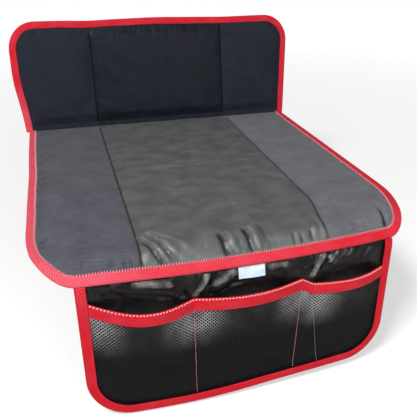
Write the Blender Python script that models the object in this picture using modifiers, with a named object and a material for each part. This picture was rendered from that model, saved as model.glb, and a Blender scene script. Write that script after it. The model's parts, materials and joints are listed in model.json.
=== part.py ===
"""Car seat protector mat with a bound back pad, a bound seat pad and a pocketed apron.

The mat is modelled as it lies on a seat: the seat pad is level and rolls down over the front
edge, the back pad leans behind it, and the apron with its net pockets hangs from the front.
Metres, +Z up, -Y towards the front. The origin is on the seat pad's underside, at its middle.

Each of the three panels is cut as a flat pattern with two round corners at its far end: across
runs over its width, and along runs from the seam that joins it to its neighbour. A layer of a
panel is a grid primitive whose points are carried from the pattern to where the cloth lies, and
a Solidify modifier gives it its thickness. Height is measured from the panel's underside.
"""

import math
from typing import Callable, NamedTuple

import bmesh
import bpy
from mathutils import Vector

# Seat pad, from the crease to its front edge
SEAT_WIDTH = 0.475
SEAT_LENGTH = 0.455
SEAT_CORNER_ACROSS = 0.048
SEAT_CORNER_ALONG = 0.098
CREASE_Y = 0.225
FRONT_BOW = 0.016
ROLL_RADIUS = 0.036
ROLL_ANGLE = math.radians(55.0)

# Back pad, from the crease to its top edge
BACK_WIDTH_AT_CREASE = 0.485
BACK_WIDTH_AT_TOP = 0.507
BACK_HEIGHT = 0.182
BACK_CORNER = 0.046
BACK_LEAN = math.radians(12.0)

# Apron, from the front seam to its lower edge
APRON_WIDTH = 0.381
APRON_DROP = 0.1755
APRON_CORNER = 0.050
APRON_TUCK = 0.008
APRON_LEAN = math.radians(4.0)
APRON_BEND = 0.012
APRON_SKEW = 0.005

# Cloth and foam
PAD_THICKNESS = 0.0082
COVER = 0.0010
BACKING = 0.0010
FOAM = 0.0046
TAPE = 0.0009
NET = 0.0008
APRON_CLOTH = 0.0010
LABEL_CLOTH = 0.0006
CLEARANCE = 0.0003

# Grid lines: how close they may lie, how far apart they are on folds and on the bowed front, and
# how many steps the held strip, the swell, the round corners and the folded tapes are given
FLAT_ANGLE = math.radians(0.1)
LEAST_STEP = 0.0022
FOLD_STEP = 0.0115
CLOSE_FOLD_STEP = 0.0069
BOW_STEP = 0.025
HELD_STEPS = 3
SWELL_STEPS = 3
COARSE_STEPS = 2
SEAT_CORNER_STEPS = 10
BACK_CORNER_STEPS = 7
APRON_CORNER_STEPS = 5
FOAM_CORNER_STEPS = 5
SEAT_TAPE_STEPS = (18, 7)
BACK_TAPE_STEPS = (8, 1)
APRON_TAPE_STEPS = (6, 5)
TAPE_TURN_STEPS = 3

# Bound edges: the tape holds the edge flat and off the seat, and the pad swells inside it
TAPE_WIDTH = 0.0092
EDGE_LIFT = 0.0016
EDGE_RIM = 0.0020
EDGE_RISE = 0.0140
FOAM_MARGIN = 0.0025

# Seams between the covers, and the pressed lines across them
SEAM_X = 0.119
SEAM_GAP = 0.0004
SEAM_REACH = 0.006
SEAM_DIP = 0.0008
SEAT_PRESSED_LINE = 0.228
BACK_PRESSED_LINES = (-0.010, 0.020)
CREASE_TAPE_LEG = 0.0115

# Pockets: one net, divided by two seams. Each hem runs from wall to wall, with a sag, or a rise below 0
DIVIDERS = (-0.066, 0.070)
POCKET_SWELL = (0.019, 0.015, 0.014)
POCKET_SAG = (0.003, -0.003, 0.003)
HEM_AT_WALLS = (0.0230, 0.0325, 0.0343, 0.0383)
HEM_WIDTH = 0.0135
HEM_EASE = 0.0003
NET_STRAND = 0.0034
NET_COLUMNS = (5, 6, 5)
NET_ROWS = 5
NET_CORNER = 0.008
LABEL_WIDTH = 0.032
LABEL_LENGTH = 0.013
LABEL_X = 0.003

# Folds in the cloth: where each starts and ends on its pattern, its half width and its height
SEAT_FOLDS = (
    ((-0.112, 0.396), (-0.084, 0.444), 0.0070, 0.0032),
    ((-0.110, 0.414), (-0.099, 0.444), 0.0055, 0.0026),
    ((-0.016, 0.402), (-0.014, 0.446), 0.0060, 0.0030),
    ((0.004, 0.394), (0.011, 0.446), 0.0065, 0.0034),
)
APRON_FOLDS = (
    ((-0.160, 0.006), (-0.085, 0.040), 0.0120, 0.0040),
    ((-0.040, 0.004), (-0.066, 0.034), 0.0080, 0.0045),
    ((0.046, 0.004), (-0.010, 0.032), 0.0120, 0.0035),
    ((0.106, 0.004), (0.082, 0.036), 0.0080, 0.0045),
    ((0.138, 0.004), (0.120, 0.026), 0.0070, 0.0030),
)

# Worked out from the values above
HELD = TAPE_WIDTH + CLEARANCE
FOAM_INSET = HELD + EDGE_RIM + EDGE_RISE
FOAM_EDGE = FOAM_INSET + FOAM_MARGIN
EDGE_TOP = EDGE_LIFT + BACKING + CLEARANCE + COVER
FOAM_HEIGHT = BACKING + CLEARANCE
TAPE_SEAT = CLEARANCE + TAPE / 2
TAPE_OVER = CLEARANCE + TAPE
BAND_TIP = (EDGE_TOP - EDGE_LIFT) / 2 + TAPE_OVER
LEVEL_LENGTH = SEAT_LENGTH - ROLL_RADIUS * ROLL_ANGLE
APRON_HEIGHT = EDGE_LIFT - TAPE_OVER - CLEARANCE - APRON_CLOTH / 2
NET_OUT = APRON_CLOTH / 2 + TAPE_OVER + CLEARANCE + HEM_EASE + NET / 2
UP_BACK = Vector((0, math.sin(BACK_LEAN), math.cos(BACK_LEAN)))
OUT_BACK = Vector((0, -math.cos(BACK_LEAN), math.sin(BACK_LEAN)))
BACK_FOOT_Y = CREASE_Y + CLEARANCE + (EDGE_TOP + TAPE_OVER) * math.cos(BACK_LEAN)
BACK_FOOT = Vector((0, BACK_FOOT_Y, EDGE_LIFT * (1 - math.sin(BACK_LEAN))))


class Panel(NamedTuple):
    """A flat pattern with two round corners at its far end, and where its points lie in space."""

    half_start: float
    half_end: float
    length: float
    corner_across: float
    corner_along: float
    place: Callable

    def side(self, along):
        """Half the width without the corners."""
        return self.half_start + (self.half_end - self.half_start) * along / self.length

    def half(self, along, inset=0.0):
        """Half the width at a distance along, or half that of a line inside the edge."""
        reach = max(0.0, along - self.length + self.corner_along) / (self.corner_along - inset)
        cut = (self.corner_across - inset) * (1 - math.sqrt(1 - min(reach, 1.0) ** 2))
        return self.side(along) - inset - cut

    def end(self, across, inset=0.0):
        """Where the far edge, or a line inside it, lies at a distance across."""
        reach = max(0.0, abs(across) - self.half_end + self.corner_across) / (self.corner_across - inset)
        cut = (self.corner_along - inset) * (1 - math.sqrt(1 - min(reach, 1.0) ** 2))
        return self.length - inset - cut

    def edge_distance(self, across, along):
        """Distance from a point of the pattern to its nearest edge. A corner is a quarter ellipse."""
        x = abs(across) - self.side(along) + self.corner_across
        y = along - self.length + self.corner_along
        if x <= 0 or y <= 0:
            return max(0.0, min(self.corner_across - x, self.corner_along - y, along))
        share = math.hypot(x / self.corner_across, y / self.corner_along)
        steepness = math.hypot(x / self.corner_across**2, y / self.corner_along**2)
        return max(0.0, min((1 - share) * share / steepness, along))


def smooth(value):
    """Rises from 0 to 1 with level ends."""
    value = min(max(value, 0.0), 1.0)
    return value * value * (3 - 2 * value)


def fold_height(folds, across, along):
    """Height of the folds at a point: each is a bell-shaped ridge along its line, fading at both ends."""
    total = 0.0
    for (x0, y0), (x1, y1), width, height in folds:
        run_x, run_y = x1 - x0, y1 - y0
        length = math.hypot(run_x, run_y)
        share = ((across - x0) * run_x + (along - y0) * run_y) / length**2
        aside = ((across - x0) * run_y - (along - y0) * run_x) / length
        fade = smooth(min(share, 1 - share) * 3 + 0.5)
        total += height * fade * math.exp(-((aside / width) ** 2))
    return total


def seat_place(across, along, height):
    """Level, bowed out towards the front, then rolled about a line below the front edge."""
    turn = max(0.0, along - LEVEL_LENGTH) / ROLL_RADIUS
    bow = FRONT_BOW * (1 - (2 * across / SEAT_WIDTH) ** 2)
    level = min(along, LEVEL_LENGTH) * (1 + bow / LEVEL_LENGTH)
    y = CREASE_Y - level - (ROLL_RADIUS + height) * math.sin(turn)
    return Vector((across, y, (ROLL_RADIUS + height) * math.cos(turn) - ROLL_RADIUS))


def back_place(across, along, height):
    return Vector((across, 0, 0)) + BACK_FOOT + UP_BACK * along + OUT_BACK * height


def apron_place(across, along, out):
    """Leaves along the rolled underside, turns, and hangs, a little lower to the left."""
    if along <= 0:
        return seat_place(across, SEAT_LENGTH + along, APRON_HEIGHT + out)
    down = along * (1 - APRON_SKEW / APRON_DROP * math.tanh(across / (APRON_WIDTH / 6)))
    turned = min(down, APRON_BEND)
    bend = math.pi / 2 - APRON_LEAN - ROLL_ANGLE
    angle = ROLL_ANGLE + bend * turned / APRON_BEND
    middle = (ROLL_ANGLE + angle) / 2
    point = seat_place(across, SEAT_LENGTH, APRON_HEIGHT)
    point += Vector((0, -math.cos(middle), -math.sin(middle))) * turned
    point += Vector((0, -math.cos(angle), -math.sin(angle))) * (down - turned)
    return point + Vector((0, -math.sin(angle), math.cos(angle))) * out


SEAT = Panel(SEAT_WIDTH / 2, SEAT_WIDTH / 2, SEAT_LENGTH, SEAT_CORNER_ACROSS, SEAT_CORNER_ALONG, seat_place)
BACK = Panel(
    BACK_WIDTH_AT_CREASE / 2, BACK_WIDTH_AT_TOP / 2, BACK_HEIGHT, BACK_CORNER, BACK_CORNER, back_place
)
APRON = Panel(APRON_WIDTH / 2, APRON_WIDTH / 2, APRON_DROP, APRON_CORNER, APRON_CORNER, apron_place)


def swell(distance):
    """0 under the tape and 1 where the pad has its full thickness."""
    return smooth((distance - HELD - EDGE_RIM) / EDGE_RISE)


def cover_top(panel, across, along, pressed):
    """The cover's upper side: it swells inside the tape and dips at the seams and pressed lines."""
    full = swell(panel.edge_distance(across, along))
    dip = max(1 - smooth(abs(away) / SEAM_REACH) for away in (abs(across) - SEAM_X, *pressed))
    return EDGE_TOP + (PAD_THICKNESS - EDGE_TOP - SEAM_DIP * dip) * full


def seat_top(across, along):
    flat = cover_top(SEAT, across, along, [along - SEAT_PRESSED_LINE])
    return flat + fold_height(SEAT_FOLDS, across, along) * swell(SEAT.edge_distance(across, along))


def back_top(across, along):
    return cover_top(BACK, across, along, [across - line for line in BACK_PRESSED_LINES])


def clear_scene():
    for existing in list(bpy.data.objects):
        bpy.data.objects.remove(existing, do_unlink=True)


def material(name, colour, roughness):
    made = bpy.data.materials.new(name)
    made.use_nodes = True
    shader = made.node_tree.nodes["Principled BSDF"]
    shader.inputs["Base Color"].default_value = (*colour, 1)
    shader.inputs["Roughness"].default_value = roughness
    shader.inputs["Metallic"].default_value = 0.0
    return made


def sheet(name, columns, rows, place, thickness, finish):
    """A grid primitive carried to its place by a formula, then given its thickness about its middle."""
    across_cells, along_cells = len(columns) - 1, len(rows) - 1
    bpy.ops.mesh.primitive_grid_add(x_subdivisions=across_cells, y_subdivisions=along_cells, size=2)
    made = bpy.context.object
    made.name = name
    made.data.name = name
    for vertex in made.data.vertices:
        column = round((vertex.co.x + 1) / 2 * across_cells)
        row = round((vertex.co.y + 1) / 2 * along_cells)
        vertex.co = place(columns[column], rows[row])
    plain = made.modifiers.new("Flat areas", "DECIMATE")
    plain.decimate_type = "DISSOLVE"
    plain.angle_limit = FLAT_ANGLE
    solid = made.modifiers.new("Thickness", "SOLIDIFY")
    solid.thickness = thickness
    solid.offset = 0
    solid.use_even_offset = True
    made.data.materials.append(finish)
    made.data.shade_smooth()
    return made


def spread(start, end, count):
    """Lines at equal steps, both ends among them."""
    return [start + (end - start) * step / count for step in range(count + 1)]


def merged(lines, least):
    """The lines in order, without those that follow another too closely. The last one stays."""
    kept = []
    for line in sorted(lines):
        if not kept or line - kept[-1] > least:
            kept.append(line)
    kept[-1] = max(lines)
    return kept


def fold_lines(folds, axis, low, high):
    """Lines over the stretch that each fold takes up, kept between two limits."""
    lines = []
    for start, end, width, _ in folds:
        first = max(low, min(start[axis], end[axis]) - width)
        last = min(high, max(start[axis], end[axis]) + width)
        lines += spread(first, last, max(1, round((last - first) / FOLD_STEP)))
    return lines


def bowed_lines(folds, edge):
    """Columns between two mirrored edges: even ones, and closer ones over the folds."""
    even = spread(-edge, edge, round(2 * edge / BOW_STEP))
    folded = merged(fold_lines(folds, 0, -edge, edge), CLOSE_FOLD_STEP)
    apart = [line for line in even[1:-1] if min(abs(line - fold) for fold in folded) > FOLD_STEP]
    return [line for line in merged(apart + folded, LEAST_STEP) if abs(line) < edge - LEAST_STEP]


def rim_lines(held_steps, swell_steps):
    """Distances from an edge over the strip that is held flat and the swell inside it."""
    flat = HELD + EDGE_RIM
    return spread(0.0, flat, held_steps)[:-1] + spread(flat, FOAM_INSET, swell_steps)


def corner_lines(panel, inset, count):
    """Lines along a panel that follow its round corners, closer together towards the far end."""
    straight = panel.length - panel.corner_along
    reach = panel.corner_along - inset
    return [straight + reach * math.sin(math.pi / 2 * step / count) for step in range(count + 1)]


def pad_rows(panel, extra, held_steps, swell_steps):
    """Rows of a pad's cover or backing, from the crease to the far end."""
    far = [panel.length - line for line in rim_lines(held_steps, swell_steps)]
    return merged(rim_lines(1, COARSE_STEPS) + far + extra, LEAST_STEP)


def side_columns(swell_steps):
    """Columns of a pad's side section, from its outer edge in to the seam, as (from edge, fixed)."""
    rim = [(line, None) for line in rim_lines(COARSE_STEPS, swell_steps)]
    return rim + [(None, SEAM_X + SEAM_REACH), (None, SEAM_X + SEAM_GAP / 2)]


def pad_sides(name, panel, top, rows, woven):
    """The cover's two side sections, which follow the pad's outline."""

    def place_side(side):
        def place(column, along):
            from_edge, fixed = column
            across = side * (fixed if from_edge is None else panel.half(along) - from_edge)
            return panel.place(across, along, top(across, along) - COVER / 2)

        return place

    outer = side_columns(SWELL_STEPS)
    sheet(f"{name}_cover_left", outer, rows, place_side(-1), COVER, woven)
    sheet(f"{name}_cover_right", outer[::-1], rows, place_side(1), COVER, woven)


def pad_middle(name, panel, top, middle, rows, coated):
    """The cover's middle section, between the seams."""

    def place(across, along):
        return panel.place(across, along, top(across, along) - COVER / 2)

    edge, dip = SEAM_X - SEAM_GAP / 2, SEAM_X - SEAM_REACH
    columns = [-edge, -dip, *middle, dip, edge]
    sheet(f"{name}_cover_centre", columns, rows, place, COVER, coated)


def pad_core(name, panel, middle_steps, rows, foam_rows, foam, grip):
    """A foam board cut smaller than the pad, on the grip cloth of the underside."""

    def place_backing(column, along):
        share, from_edge = column
        across = share * (panel.half(along) - from_edge)
        lift = EDGE_LIFT * (1 - swell(panel.edge_distance(across, along)))
        return panel.place(across, along, lift + BACKING / 2)

    def place_foam(share, along):
        return panel.place(share * panel.half(along, FOAM_EDGE), along, FOAM_HEIGHT + FOAM / 2)

    rim = rim_lines(COARSE_STEPS, COARSE_STEPS) + [FOAM_INSET + EDGE_RISE]
    shares = spread(-1, 1, middle_steps)
    middle = [(share, FOAM_INSET) for share in shares[1:-1]]
    columns = [(-1, line) for line in rim] + middle + [(1, line) for line in rim[::-1]]
    sheet(f"{name}_backing", columns, rows, place_backing, BACKING, grip)
    sheet(f"{name}_foam", shares, foam_rows, place_foam, FOAM, foam)


def seat_pad(coated, woven, foam, grip):
    corner = corner_lines(SEAT, 0.0, SEAT_CORNER_STEPS) + [LEVEL_LENGTH]
    pressed = [SEAT_PRESSED_LINE + reach for reach in (-SEAM_REACH, 0.0, SEAM_REACH)]
    side_rows = pad_rows(SEAT, pressed + corner, HELD_STEPS, SWELL_STEPS)
    pad_sides("seat", SEAT, seat_top, side_rows, woven)
    folded = merged(fold_lines(SEAT_FOLDS, 1, 0.0, LEVEL_LENGTH), FOLD_STEP) + [LEVEL_LENGTH]
    middle_rows = pad_rows(SEAT, pressed + folded, HELD_STEPS, SWELL_STEPS)
    columns = bowed_lines(SEAT_FOLDS, SEAM_X - SEAM_REACH)
    pad_middle("seat", SEAT, seat_top, columns, middle_rows, coated)
    core_rows = pad_rows(SEAT, corner, HELD_STEPS, SWELL_STEPS)
    foam_rows = [FOAM_EDGE, *corner_lines(SEAT, FOAM_EDGE, FOAM_CORNER_STEPS)]
    shares = 2 * round((SEAT_WIDTH / 2 - FOAM_INSET) / BOW_STEP)
    pad_core("seat", SEAT, shares, core_rows, foam_rows, foam, grip)


def back_pad(coated, woven, foam, grip):
    rows = pad_rows(BACK, corner_lines(BACK, 0.0, BACK_CORNER_STEPS), 1, COARSE_STEPS)
    pad_sides("back", BACK, back_top, rows, woven)
    columns = [line + reach for line in BACK_PRESSED_LINES for reach in (-SEAM_REACH, 0.0, SEAM_REACH)]
    pad_middle("back", BACK, back_top, columns, pad_rows(BACK, [], 1, COARSE_STEPS), coated)
    foam_rows = [FOAM_EDGE, *corner_lines(BACK, FOAM_EDGE, FOAM_CORNER_STEPS)]
    pad_core("back", BACK, 2, rows, foam_rows, foam, grip)


def outline(panel, start_lines, corner_steps, end_steps):
    """Stations round a panel's edge, as (across, along, inward across, inward along)."""
    straight = panel.length - panel.corner_along
    half = [(panel.side(along), along, -1, 0) for along in start_lines + [straight]]
    for step in range(1, corner_steps):
        angle = math.pi / 2 * step / corner_steps
        x, y = panel.corner_across * math.cos(angle), panel.corner_along * math.sin(angle)
        inward = Vector((-x / panel.corner_across**2, -y / panel.corner_along**2)).normalized()
        along = straight + y
        half.append((panel.side(along) - panel.corner_across + x, along, *inward))
    inner = panel.half_end - panel.corner_across
    half += [(across, panel.length, 0, -1) for across in spread(inner, 0.0, end_steps)]
    other = [(-across, along, -in_across, in_along) for across, along, in_across, in_along in half[:-1]]
    return half + other[::-1]


def folded_tape(low, high, legs):
    """The folded tape's middle line, as (inward, height): a leg, the turn round the edge, a leg."""
    radius, middle = (high - low) / 2, (high + low) / 2
    turn = spread(math.pi / 2, math.pi * 3 / 2, TAPE_TURN_STEPS)
    bend = [(radius * math.cos(angle), middle + radius * math.sin(angle)) for angle in turn]
    return [(leg, high) for leg in legs] + bend + [(leg, low) for leg in reversed(legs)]


def bind_edge(name, panel, stations, section, finish):
    """Tape folded over a panel's edge, carried round its outline."""

    def place(station, fold):
        across, along, in_across, in_along = station
        inward, height = fold
        return panel.place(across + in_across * inward, along + in_along * inward, height)

    return sheet(name, stations, section, place, TAPE, finish)


def bindings(red):
    """One tape round the back pad, one round the seat pad, one round the apron."""
    legs = [TAPE_WIDTH, TAPE_WIDTH / 2]
    pad_section = folded_tape(EDGE_LIFT - TAPE_SEAT, EDGE_TOP + TAPE_SEAT, legs)
    bind_edge("seat_binding", SEAT, outline(SEAT, [0.0], *SEAT_TAPE_STEPS), pad_section, red)
    bind_edge("back_binding", BACK, outline(BACK, [0.0], *BACK_TAPE_STEPS), pad_section, red)
    apron_section = folded_tape(-APRON_CLOTH / 2 - TAPE_SEAT, NET_OUT + NET / 2 + TAPE_SEAT, legs[:1])
    starts = [BAND_TIP + CLEARANCE, *bend_lines()]
    bind_edge("apron_binding", APRON, outline(APRON, starts, *APRON_TAPE_STEPS), apron_section, red)


def bend_lines():
    """Lines where the apron turns from the roll to its hang."""
    return spread(APRON_BEND / 3, APRON_BEND, 2)


def crease_tape(woven):
    """A strip under the crease that holds the two pads together, an angle in section."""
    height = EDGE_LIFT - TAPE_SEAT
    corner = BACK_FOOT + OUT_BACK * height
    corner += UP_BACK * ((height - corner.z) / UP_BACK.z)
    line = [Vector((0, CREASE_Y - CREASE_TAPE_LEG, height)), corner, corner + UP_BACK * CREASE_TAPE_LEG]
    half = min(SEAT_WIDTH, BACK_WIDTH_AT_CREASE) / 2 - HELD

    def place(across, point):
        return point + Vector((across, 0, 0))

    sheet("crease_tape", [-half, 0.0, half], line, place, TAPE, woven)


def pocket_walls():
    """The lines across at which the net is held to the apron: tape, dividers, tape."""
    return (HELD - APRON_WIDTH / 2, *DIVIDERS, APRON_WIDTH / 2 - HELD)


def pocket_share(across):
    """Which pocket a place lies in, counted from the left, and how far through it from wall to wall."""
    walls = pocket_walls()
    across = min(max(across, walls[0]), walls[-1])
    for number, (left, right) in enumerate(zip(walls, walls[1:])):
        if across <= right:
            return number, (across - left) / (right - left)


def pocket_arch(across, heights):
    """An arch over each pocket from wall to wall, of its own height, and 0 at the walls."""
    number, share = pocket_share(across)
    return heights[number] * math.sin(math.pi * share)


def hem_top(across):
    """Where the pockets' hem starts below the seam: from wall to wall, with a sag or a rise between."""
    number, share = pocket_share(across)
    left, right = HEM_AT_WALLS[number:number + 2]
    return left + (right - left) * share + pocket_arch(across, POCKET_SAG)


def net_floor(across):
    """The line at the foot where the net meets the tape, with its ends at the walls above the corners."""
    if abs(across) < pocket_walls()[-1] - CLEARANCE:
        return APRON.end(across, HELD)
    return APRON_DROP - APRON_CORNER - NET_CORNER


def net_out(across, along):
    """How far the net stands off the apron: each pocket swells between its walls, most near the hem."""
    fall = 1 - smooth((along - hem_top(across)) / (net_floor(across) - hem_top(across)))
    return NET_OUT + fall * pocket_arch(across, POCKET_SWELL)


def apron(coated):
    """The hanging panel. Its folds press back, away from the net."""
    rim = [0.0, TAPE_WIDTH / 2, HELD]
    middle = bowed_lines(APRON_FOLDS, APRON_WIDTH / 2 - HELD)
    columns = [(-1, line) for line in rim] + [(0, across) for across in middle]
    columns += [(1, line) for line in rim[::-1]]
    folded = merged(fold_lines(APRON_FOLDS, 1, APRON_BEND, APRON_DROP - APRON_CORNER), FOLD_STEP)
    corner = corner_lines(APRON, 0.0, APRON_CORNER_STEPS)
    rows = merged([-APRON_TUCK, 0.0, *bend_lines(), *folded, *corner], LEAST_STEP)

    def place(column, along):
        side, value = column
        half = APRON.half(along)
        across = side * (half - value) if side else value * (half - HELD) / (APRON_WIDTH / 2 - HELD)
        held = smooth((APRON_WIDTH / 2 - HELD - abs(across)) / SEAM_REACH) * smooth(along / SEAM_REACH)
        return apron_place(across, along, -fold_height(APRON_FOLDS, across, along) * held)

    return sheet("apron_panel", columns, rows, place, APRON_CLOTH, coated)


def strand_steps(start, end, gaps):
    """Lines that part a stretch into strands and gaps, as (place, whether a gap follows)."""
    gap = (end - start - (gaps + 1) * NET_STRAND) / gaps
    steps = [(start, False)]
    for number in range(gaps):
        left = start + NET_STRAND + number * (gap + NET_STRAND)
        steps += [(left, True), (left + gap, False)]
    return steps


def net_columns():
    """The net's columns between the tapes, pocket by pocket, with their gaps."""
    walls = pocket_walls()
    steps = []
    for left, right, gaps in zip(walls, walls[1:], NET_COLUMNS):
        steps += strand_steps(left, right, gaps)
    return steps + [(walls[-1], False)]


def pocket_net(mesh_cloth):
    """One net across three pockets: a wall with gaps, held at its sides, its foot and two dividers."""
    under_tape = APRON_WIDTH / 2 - CLEARANCE
    across_steps = [(-under_tape, False), *net_columns(), (under_tape, False)]
    length = APRON_DROP - hem_top(0.0) - HELD
    row_steps = [(0.0, False), *strand_steps(HEM_WIDTH, length, NET_ROWS), (length, False), (None, False)]

    def place(across, row):
        if row is None:
            return apron_place(across, APRON.end(across, CLEARANCE), NET_OUT)
        along = hem_top(across) + TAPE_SEAT + min(row, HEM_WIDTH)
        below = max(0.0, row - HEM_WIDTH) / (length - HEM_WIDTH)
        along += (net_floor(across) - along) * below
        return apron_place(across, along, net_out(across, along))

    columns = [step[0] for step in across_steps]
    rows = [step[0] for step in row_steps]
    net = sheet("pocket_net", columns, rows, place, NET, mesh_cloth)
    cut_gaps(net, across_steps, row_steps)


def cut_gaps(net, across_steps, row_steps):
    """Takes out the faces that lie in a gap both ways."""
    cloth = bmesh.new()
    cloth.from_mesh(net.data)
    cloth.faces.ensure_lookup_table()
    gaps = []
    for face in cloth.faces:
        row, column = divmod(face.index, len(across_steps) - 1)
        if row_steps[row][1] and across_steps[column][1]:
            gaps.append(face)
    bmesh.ops.delete(cloth, geom=gaps, context="FACES_ONLY")
    cloth.to_mesh(net.data)
    cloth.free()


def pocket_hem(red):
    """The tape folded over the net's top edge."""
    radius = NET / 2 + TAPE_SEAT + HEM_EASE
    section = folded_tape(-radius, radius, [HEM_WIDTH])

    def place(across, fold):
        inward, off = fold
        along = hem_top(across) + TAPE_SEAT + inward
        return apron_place(across, along, net_out(across, max(along, hem_top(across))) + off)

    return sheet("pocket_hem", [step[0] for step in net_columns()], section, place, TAPE, red)


def label(satin):
    """A bare satin tab that hangs from under the front tape."""
    out = APRON_CLOTH / 2 + CLEARANCE + LABEL_CLOTH / 2
    start = BAND_TIP + CLEARANCE

    def place(across, along):
        return apron_place(across, along, out)

    columns = spread(LABEL_X - LABEL_WIDTH / 2, LABEL_X + LABEL_WIDTH / 2, 2)
    sheet("label_tab", columns, spread(start, start + LABEL_LENGTH, 5), place, LABEL_CLOTH, satin)


def main():
    clear_scene()
    collection = bpy.data.collections.new("car_seat_protector_mat")
    bpy.context.scene.collection.children.link(collection)
    layer = bpy.context.view_layer.layer_collection.children[collection.name]
    bpy.context.view_layer.active_layer_collection = layer
    red = material("red_binding_tape", (0.70, 0.02, 0.04), 0.6)
    woven = material("black_woven_polyester", (0.045, 0.047, 0.055), 0.75)
    coated = material("black_coated_cloth", (0.02, 0.02, 0.023), 0.35)
    grip = material("grip_backing", (0.03, 0.03, 0.03), 0.85)
    foam = material("white_foam", (0.75, 0.75, 0.72), 0.9)
    net = material("black_pocket_net", (0.015, 0.015, 0.015), 0.6)
    satin = material("pale_satin", (0.62, 0.75, 0.85), 0.4)
    seat_pad(coated, woven, foam, grip)
    back_pad(coated, woven, foam, grip)
    crease_tape(woven)
    bindings(red)
    apron(coated)
    pocket_net(net)
    pocket_hem(red)
    label(satin)


main()
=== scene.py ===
"""Looks of a padded car seat mat: two bound pads, and a glossy apron with three net pockets."""

import json
import logging
import math
from dataclasses import dataclass
from enum import Enum
from typing import Callable, Dict, List, Optional, Sequence, Tuple

import bpy
import numpy as np
from mathutils import Matrix, Vector

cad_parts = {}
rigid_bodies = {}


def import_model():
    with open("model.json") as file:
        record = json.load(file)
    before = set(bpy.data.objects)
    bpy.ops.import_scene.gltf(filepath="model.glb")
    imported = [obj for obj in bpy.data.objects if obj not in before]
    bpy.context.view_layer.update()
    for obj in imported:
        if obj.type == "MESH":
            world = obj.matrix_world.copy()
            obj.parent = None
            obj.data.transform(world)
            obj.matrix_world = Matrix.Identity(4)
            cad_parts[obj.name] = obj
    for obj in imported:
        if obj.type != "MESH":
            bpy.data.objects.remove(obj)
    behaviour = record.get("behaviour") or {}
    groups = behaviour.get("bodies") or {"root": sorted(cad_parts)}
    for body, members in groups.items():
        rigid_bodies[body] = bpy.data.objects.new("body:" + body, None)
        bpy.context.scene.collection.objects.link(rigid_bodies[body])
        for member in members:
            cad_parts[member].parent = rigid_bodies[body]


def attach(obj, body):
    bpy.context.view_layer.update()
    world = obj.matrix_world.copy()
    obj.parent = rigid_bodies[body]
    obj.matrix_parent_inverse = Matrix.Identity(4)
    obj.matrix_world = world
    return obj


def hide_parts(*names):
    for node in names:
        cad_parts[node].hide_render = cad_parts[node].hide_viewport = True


for leftover in list(bpy.data.objects):
    bpy.data.objects.remove(leftover, do_unlink=True)
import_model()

Array = np.ndarray
Colour = Tuple[float, float, float]
Heights = Callable[[Array, Array], Array]
Piece = bpy.types.Object
Socket = bpy.types.NodeSocket
Material = bpy.types.Material
LOG = logging.getLogger("seat_mat")
UV_NAME = "pattern"
# Share of a finish's colour left in the deepest creases, as painted shade
PAINTED_SHADE_SHARE = 0.12

# Layers, in metres, as in the solids
PAD_THICKNESS = 0.0082
COVER = 0.0010
BACKING = 0.0010
FOAM = 0.0046
TAPE = 0.0009
NET = 0.0008
APRON_CLOTH = 0.0010
LABEL_CLOTH = 0.0006
CLEARANCE = 0.0003
TAPE_WIDTH = 0.0092
EDGE_LIFT = 0.0016
EDGE_RIM = 0.0020
EDGE_RISE = 0.0140
FOAM_MARGIN = 0.0025
FOAM_ROUND = 0.0015
SEAM_X = 0.119
SEAM_GAP = 0.00006
SEAM_REACH = 0.006
SEAM_DIP = 0.0008
HEM_WIDTH = 0.0135
HEM_EASE = 0.0003
DIVIDERS = (-0.066, 0.067, 0.083)

# Worked out from them
HELD = TAPE_WIDTH + CLEARANCE
FOAM_INSET = HELD + EDGE_RIM + EDGE_RISE
FOAM_EDGE = FOAM_INSET + FOAM_MARGIN
EDGE_TOP = EDGE_LIFT + BACKING + CLEARANCE + COVER
FOAM_HEIGHT = BACKING + CLEARANCE
TAPE_SEAT = CLEARANCE + TAPE / 2
TAPE_OVER = CLEARANCE + TAPE
BAND_TIP = (EDGE_TOP - EDGE_LIFT) / 2 + TAPE_OVER
APRON_HEIGHT = EDGE_LIFT - TAPE_OVER - CLEARANCE - APRON_CLOTH / 2
NET_OUT = APRON_CLOTH / 2 + TAPE_OVER + CLEARANCE + HEM_EASE + NET / 2
SEAT_SIZE = (0.2375, 0.2375, 0.455, 0.048, 0.098)
CREASE_Y = 0.225
BACK_LEAN = math.radians(12.0)

# Distances between stitches
SEAM_PITCH = 0.0034
TAPE_PITCH = 0.0031
DIVIDER_PITCH = 0.0031
HEM_PITCH = 0.0036
HEM_DENT_PITCH = 0.003

# What thread does to the cloth: depth and reach, or depth alone
SEAM_GROOVE = (0.0009, 0.0013)
SEAM_DENT = (0.0003, 0.0035)
TAPE_PUFF = 0.00016
TAPE_DENT = 0.00022
HEM_DENT = 0.0002

# The net's edge under the tape
NET_MARGIN = 0.005

# Grip dots
DOT_PITCH = 0.01
DOT_RADIUS = 0.0015
DOT_HEIGHT = 0.0004

# How far a held line keeps the cloth still, and steps for measuring slopes
HELD_BESIDE_TAPE = 0.006
HELD_BESIDE_SEAM = 0.004
PROBE = 0.0004
NET_PROBE = 0.0006

# How the cloth is simulated
CLOTH_FRAMES = 20
CLOTH = {
    "quality": 6, "mass": 0.2, "tension_stiffness": 12, "compression_stiffness": 12, "shear_stiffness": 6,
    "bending_stiffness": 0.35, "use_pressure": True,
}


def smooth(value: Array) -> Array:
    """Rises from 0 to 1 with level ends: v v (3 - 2 v), with v held between 0 and 1."""
    value = np.clip(value, 0.0, 1.0)
    return value * value * (3 - 2 * value)


def bell(distance: Array, reach: float) -> Array:
    """A bell of height 1: e to the minus (distance / reach) squared."""
    return np.exp(-((distance / reach) ** 2))


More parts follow.
